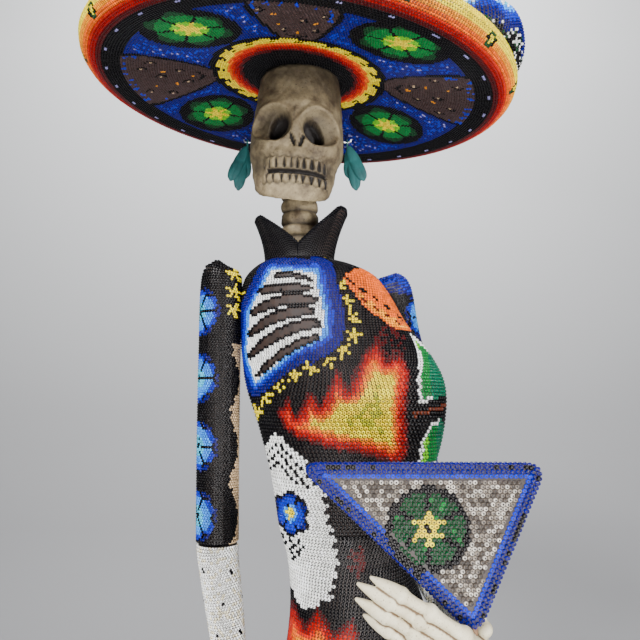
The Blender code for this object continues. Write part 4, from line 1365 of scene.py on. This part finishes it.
def skull():
    """The painted skull: the CAD's outer shape with the carved face."""
    sections = smooth(SKULL, 26)
    low = sections[:1].repeat(4, axis=0)
    high = sections[-1:].repeat(4, axis=0)
    for rows, steps in ((low, (0.45, 0.62, 0.80, 0.94)), (high, (0.95, 0.85, 0.65, 0.40))):
        rows[:, 3:] *= np.array(steps)[:, None]
    low[:, 0] += np.array((1.2, 0.8, 0.4, 0.0)) * MM
    sections = np.vstack([low, sections, high])
    c = np.cos(circle(SKULL_COLUMNS))
    s = np.sin(circle(SKULL_COLUMNS))
    grid = np.empty((len(sections), SKULL_COLUMNS, 3))
    grid[..., 0] = NECK_X + sections[:, 1:2] + sections[:, 3:4] * np.sign(c) * np.abs(c) ** SKULL_BEND
    grid[..., 1] = sections[:, 2:3] + sections[:, 4:5] * np.sign(s) * np.abs(s) ** SKULL_BEND
    grid[..., 2] = sections[:, :1]
    fade = np.clip((JAW_Z - grid[..., 2]) / JAW_H, 0, 1)
    grid[..., 2] -= JAW_DROP * (grid[..., 0] - NECK_X - FACE_X) * fade
    grid[..., 2] += JAW_RISE * np.clip(grid[..., 1] - CHIN_Y, 0, None) * fade
    around = np.roll(grid, -1, axis=1) - np.roll(grid, 1, axis=1)
    up = np.gradient(grid, axis=0)
    normal = np.cross(around, up)
    normal /= np.linalg.norm(normal, axis=2)[..., None] + TINY
    x = (grid[..., 0] - NECK_X - FACE_X) / MM
    z = grid[..., 2] / MM
    deep, shade_and_marks = skull_relief(x, z + FACE_SLOPE * x)
    front = np.clip((-normal[..., 1] - 0.08) / 0.35, 0, 1)
    front = front * front * (3 - 2 * front)
    lumps = 0.25 * np.sin(x * 0.55 + 1) * np.sin(z * 0.43) + 0.16 * np.sin(x * 1.1) * np.sin(z * 0.9 + 2)
    move = -deep * front + lumps
    inward = normal * np.array([0.35, 1.0, 0.2])
    inward /= np.linalg.norm(inward, axis=2)[..., None] + TINY
    grid = grid + inward * move[..., None] * MM
    obj = grid_mesh("skull_face", grid, CLAY, "head")
    # painted shade: the face's sunken places, then painted shadow of the hat over the skull above the hat
    # line and in a band under its brim
    shade = np.maximum(shade_and_marks * front, np.clip((grid[..., 2] - HAT_LINE_Z) / 0.002, 0, 1))
    shade = np.maximum(shade, 0.55 * ridge(grid[..., 2] / MM - 746, 5))
    set_shade_and_marks(obj, shade.ravel())
    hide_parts("skull")


# ---- modelled bodies


def ball_mesh(bm, centre, size, turn=Matrix.Identity(4)):
    """An ellipsoid added to a bmesh."""
    copy = SPHERE.copy()
    copy.transform(Matrix.Translation(centre) @ turn @ Matrix.Diagonal((*size, 1)))
    bm.from_mesh(copy)
    bpy.data.meshes.remove(copy)


def unit_sphere():
    """The ball that every modelled body is made of."""
    bm = bmesh.new()
    bmesh.ops.create_uvsphere(bm, u_segments=20, v_segments=12, radius=1)
    mesh = bpy.data.meshes.new("unit_sphere")
    bm.to_mesh(mesh)
    bm.free()
    return mesh


SPHERE = unit_sphere()
SOFTENING = 4


def skin(name, bm, voxel, mat, body):
    """One smooth closed skin round the overlapping bodies of a bmesh."""
    mesh = bpy.data.meshes.new(name)
    bm.to_mesh(mesh)
    bm.free()
    obj = add_object(name, mesh)
    remesh = obj.modifiers.new("skin", "REMESH")
    remesh.mode = "VOXEL"
    remesh.voxel_size = voxel
    relax = obj.modifiers.new("soften", "SMOOTH")
    relax.iterations = SOFTENING
    graph = bpy.context.evaluated_depsgraph_get()
    baked = bpy.data.meshes.new_from_object(obj.evaluated_get(graph))
    obj.modifiers.clear()
    obj.data = baked
    baked.polygons.foreach_set("use_smooth", np.ones(len(baked.polygons), bool))
    baked.materials.clear()
    baked.materials.append(mat)
    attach(obj, body)
    return obj


def cavity_shade(obj, reach, gain):
    """Finds how sunken each point is against its neighbours, and stores it as painted shade for its material.
    """
    mesh = obj.data
    count = len(mesh.vertices)
    place, normal = np.empty((2, count * 3))
    mesh.vertices.foreach_get("co", place)
    mesh.vertices.foreach_get("normal", normal)
    place, normal = place.reshape(-1, 3), normal.reshape(-1, 3)
    edges = np.empty(len(mesh.edges) * 2, int)
    mesh.edges.foreach_get("vertices", edges)
    a, b = edges.reshape(-1, 2).T
    links = np.bincount(np.concatenate([a, b]), minlength=count)[:, None]
    spread = place.copy()
    for _ in range(reach):
        total = np.zeros_like(spread)
        np.add.at(total, a, spread[b])
        np.add.at(total, b, spread[a])
        spread = total / links
    sunk = ((spread - place) * normal).sum(axis=1) / MM * gain
    set_shade_and_marks(obj, np.clip(sunk, 0, 1))


def bone(bm, start, end, thick, knob):
    """One small bone: a waisted shaft with a knob at each end."""
    start, end = np.array(start), np.array(end)
    length = np.linalg.norm(end - start)
    count = max(int(length / (thick * 0.45)), 3)
    for t in np.linspace(0, 1, count):
        swell = (abs(t - 0.5) * 2) ** 2.2
        radius = thick * (0.80 + 0.20 * swell) + (knob - thick) * swell**2
        ball_mesh(bm, tuple(start + (end - start) * t), (radius,) * 3)


def claw(bm, start, end, thick, thin):
    """The last bone of a finger, which comes to a point."""
    for t in np.linspace(0, 1, 22):
        radius = thick + (thin - thick) * t**1.7
        ball_mesh(bm, tuple(start + (end - start) * t), (radius,) * 3)


def hand(label, palm, tips, thumb, spread):
    """A skeleton hand: wrist bones, four long hand bones, and fingers of three joints each."""
    bm = bmesh.new()
    wrist = np.array(palm[0])
    heel = np.array(palm[1])
    knuckle = np.array(palm[-1])
    bone(bm, wrist, heel, 0.0068, 0.0078)
    for index, tip in enumerate(tips):
        offset = np.array(spread) * (index - 1.5)
        root = heel + offset * 0.75
        joint = knuckle + offset
        end = np.array(tip)
        middle = joint + (end - joint) * 0.40 + np.array([0, -0.0026, 0.0012])
        last = joint + (end - joint) * 0.72 + np.array([0, -0.0022, 0.0010])
        bone(bm, root, joint, 0.0043, 0.0047)
        bone(bm, joint, middle, 0.0040, 0.0044)
        bone(bm, middle, last, 0.0036, 0.0040)
        claw(bm, last, end + (end - last) * 0.22, 0.0038, 0.0009)
    web = heel * 0.5 + knuckle * 0.5
    ball_mesh(bm, tuple(web + np.array([0, 0.0022, 0])), (0.0078, 0.0040, 0.0074))
    end = np.array(thumb)
    bend = heel + (end - heel) * 0.52 + np.array([0.003, -0.004, 0])
    bone(bm, heel, bend, 0.0037, 0.0043)
    bone(bm, bend, end, 0.0027, 0.0034)
    obj = skin(label + "_hand_bones", bm, 0.00042, IVORY, "figure")
    # painted shade between the bones
    cavity_shade(obj, 14, 4.5)
    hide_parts(label + "_hand")


RIGHT_HAND = (
    ((-0.0717, -0.0005, 0.357), (-0.0702, -0.002, 0.34), (-0.0685, -0.004, 0.322)),
    ((-0.07, -0.021, 0.2905), (-0.068, -0.014, 0.2855), (-0.0665, -0.006, 0.2865), (-0.0655, 0.002, 0.292)),
    (-0.0665, -0.023, 0.315),
    (0.0005, 0.0055, 0),
)
LEFT_HAND = (
    ((0.0662, -0.0762, 0.3998), (0.06, -0.093, 0.4035), (0.045, -0.114, 0.415)),
    ((0.0105, -0.1165, 0.4465), (0.0045, -0.116, 0.4435), (0.0035, -0.115, 0.4365), (0.007, -0.112, 0.4285)),
    (0.063, -0.0955, 0.433),
    (-0.004, 0.001, -0.0045),
)


LOOP_R = 0.0027
LOOP_WIRE_R = 0.0006
# Each leaf: how far out, length, lean in degrees
LEAF_PLACES = ((0.0100, 0.0280, 24), (0.0065, 0.0335, 8), (0.0028, 0.0240, -2))


def earring(side, label):
    """Three modelled leaves on a loop, with a vein pressed down each."""
    low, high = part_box("earring_hook_" + label)
    hook_x = (low[0] + high[0]) / 2 - side * 0.0003
    pivot = np.array([hook_x, (low[1] + high[1]) / 2, low[2] + 0.0005])
    bm = bmesh.new()
    for angle in 2 * math.pi * np.arange(28) / 28:
        place = pivot + np.array([0, LOOP_R * math.sin(angle), LOOP_R * math.cos(angle) - 0.0010])
        ball_mesh(bm, tuple(place), (LOOP_WIRE_R,) * 3)
    for index, (out, length, lean) in enumerate(LEAF_PLACES):
        turn = Matrix.Rotation(math.radians(-side * lean), 4, "Y")
        middle = Vector(pivot) + Vector((side * out * 0.62, 0.0016 * (index - 1), -0.0022 - length / 2))
        ball_mesh(bm, middle, (0.0042, 0.0018, length / 2), turn)
        for way in (-1, 1):
            tip = middle + turn.to_3x3() @ Vector((way * 0.0014, -0.0006, -length * 0.16))
            ball_mesh(bm, tip, (0.0030, 0.0017, length * 0.30), turn)
    obj = skin("earring_leaves_" + label, bm, 0.0003, TEAL, "earring_" + label)
    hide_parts("earring_" + label)


NECK_RINGS = 5
NECK_COLUMNS = 160
NECK_WIDER = 1.10
NECK_RISE = 0.018  # how far the rings run up into the hollow under the jaw
NECK_END = 0.32  # its first and last rings are drawn in to this share of their width


def neck():
    """The neck's rings, uneven like modelled clay."""
    low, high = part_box("neck_vertebrae")
    outer = (high[0] - low[0]) / 2 * NECK_WIDER
    height = np.linspace(low[2], high[2] + NECK_RISE, 110)
    phase = (height - low[2]) / (high[2] - low[2]) * NECK_RINGS
    cell = phase - np.floor(phase)
    radius = outer * (0.985 - 0.15 * np.abs(2 * cell - 1) ** 3)
    grid = turned_grid(np.stack([radius, height], -1), NECK_COLUMNS)
    angle = circle(NECK_COLUMNS)
    lump = 1 + 0.025 * np.sin(5 * angle[None] + 3 * phase[:, None]) + 0.015 * np.sin(11 * angle[None])
    grid[..., 0] = NECK_X + (grid[..., 0] - NECK_X) * np.minimum(lump, 1.02)
    grid[..., 1] *= np.minimum(lump, 1.02)
    ends = grid[[0, -1]].copy()
    ends[..., 0] = NECK_X + (ends[..., 0] - NECK_X) * NECK_END
    ends[..., 1] *= NECK_END
    grid = np.concatenate([ends[:1], grid, ends[1:]])
    obj = grid_mesh("neck_rings", grid, CLAY, "head", close_ends=False)
    # painted shade in the grooves between the rings, and full shade on the drawn-in ends under the jaw and
    # inside the collar
    groove = np.concatenate([[1.0], np.clip(np.abs(2 * cell - 1) ** 4, 0, 1) * 0.8, [1.0]])
    set_shade_and_marks(obj, np.repeat(groove, NECK_COLUMNS))
    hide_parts("neck_vertebrae")


# ---- room, light and camera


def paper():
    """Pale paper, darker towards the floor: painted shade, the light falling off down the backdrop."""
    mat = plain("pale_paper", (0.6, 0.6, 0.6), 0.9)
    tree = mat.node_tree
    place = tree.nodes.new("ShaderNodeTexCoord").outputs["Object"]
    height = add_node(tree, "SeparateXYZ", Vector=place).outputs["Z"]
    # painted shade: the paper's colour darkens from the top down to the floor
    spread = add_node(tree, "MapRange", Value=height, From_Min=0.2, From_Max=1.6).outputs[0]
    colour = ramp(tree, spread, (0.34, 0.34, 0.35), (0.78, 0.79, 0.80))
    tree.links.new(colour, tree.nodes["Principled BSDF"].inputs["Base Color"])
    return mat


def room():
    """A pale floor that curves up into a wall."""
    profile = [(-1.6, 0.0), (0.9, 0.0)]
    for step in range(1, 9):
        angle = math.pi / 2 * step / 8
        profile.append((0.9 + 0.5 * math.sin(angle), 0.5 - 0.5 * math.cos(angle)))
    profile.append((1.4, 3.0))
    bm = bmesh.new()
    sides = [[bm.verts.new((x, y, z)) for y, z in profile] for x in (-3.0, 3.0)]
    for i in range(len(profile) - 1):
        bm.faces.new((sides[0][i], sides[1][i], sides[1][i + 1], sides[0][i + 1]))
    mesh = bpy.data.meshes.new("studio_sweep")
    bm.to_mesh(mesh)
    bm.free()
    mesh.polygons.foreach_set("use_smooth", np.ones(len(mesh.polygons), bool))
    mesh.materials.append(paper())
    add_object("studio_sweep", mesh)


# name, place, target, size, power
AREA_LIGHTS = (
    ("key", (-0.55, -1.1, 1.35), (0, 0, 0.55), 0.25, 34),
    ("fill", (1, -0.9, 0.7), (0, 0, 0.55), 0.35, 21),
    ("from_below", (0, -0.9, 0.12), (0, 0, 0.75), 0.3, 12),
    ("back", (0.3, 1, 1.7), (0, 0, 0.7), 0.6, 8),
    ("wall_wash", (0, 0.5, 2.2), (0, 1.4, 1.5), 0.9, 34),
)


def lights():
    """A dim world and soft round lamps."""
    world = bpy.data.worlds.new("soft_room")
    world.use_nodes = True
    background = world.node_tree.nodes["Background"]
    background.inputs["Color"].default_value = (0.94, 0.96, 1.0, 1)
    background.inputs["Strength"].default_value = 0.13
    bpy.context.scene.world = world
    for name, place, target, size, power in AREA_LIGHTS:
        light = bpy.data.lights.new(name, "AREA")
        light.shape = "DISK"
        light.size = size
        light.energy = power
        obj = add_object(name, light)
        obj.location = place
        obj.rotation_euler = (Vector(target) - Vector(place)).to_track_quat("-Z", "Y").to_euler()


CAMERA_PLACE = (NECK_X + 0.014, -0.43, 0.53)
CAMERA_LENS = 36.1
CAMERA_TILT = 7.2  # degrees above level


def camera():
    """The camera stands close, below the hat, and looks a little up."""
    data = bpy.data.cameras.new("camera")
    data.sensor_width = 36
    data.lens = CAMERA_LENS
    data.clip_start = 0.01
    obj = add_object("camera", data)
    obj.location = CAMERA_PLACE
    obj.rotation_euler = (math.radians(90 + CAMERA_TILT), 0, 0)
    bpy.context.scene.camera = obj


# ---- the whole figure

camera()
room()
lights()
for mat, names in (
    (WAX, "skirt_shell hem_band right_sleeve left_sleeve right_forearm left_forearm fan_panel"),
    (WAX, "hat_brim hat_crown hat_band hat_plume"),
    (BARE, "bodice_shell collar"),
    (WOOD, "base_disc post_block center_post shoulder_yoke neck_socket neck_peg fan_grip"),
    (STEEL, "earring_hook_right earring_hook_left right_arm_wire left_arm_wire"),
    (BOARD, "hat_cup"),
):
    for covered in names.split():
        finish(covered, mat)
dress()
hem()
collar()
arms()
fan()
brim()
crown()
plume()
skull()
neck()
earring(-1, "right")
earring(1, "left")
hand("right", *RIGHT_HAND)
hand("left", *LEFT_HAND)
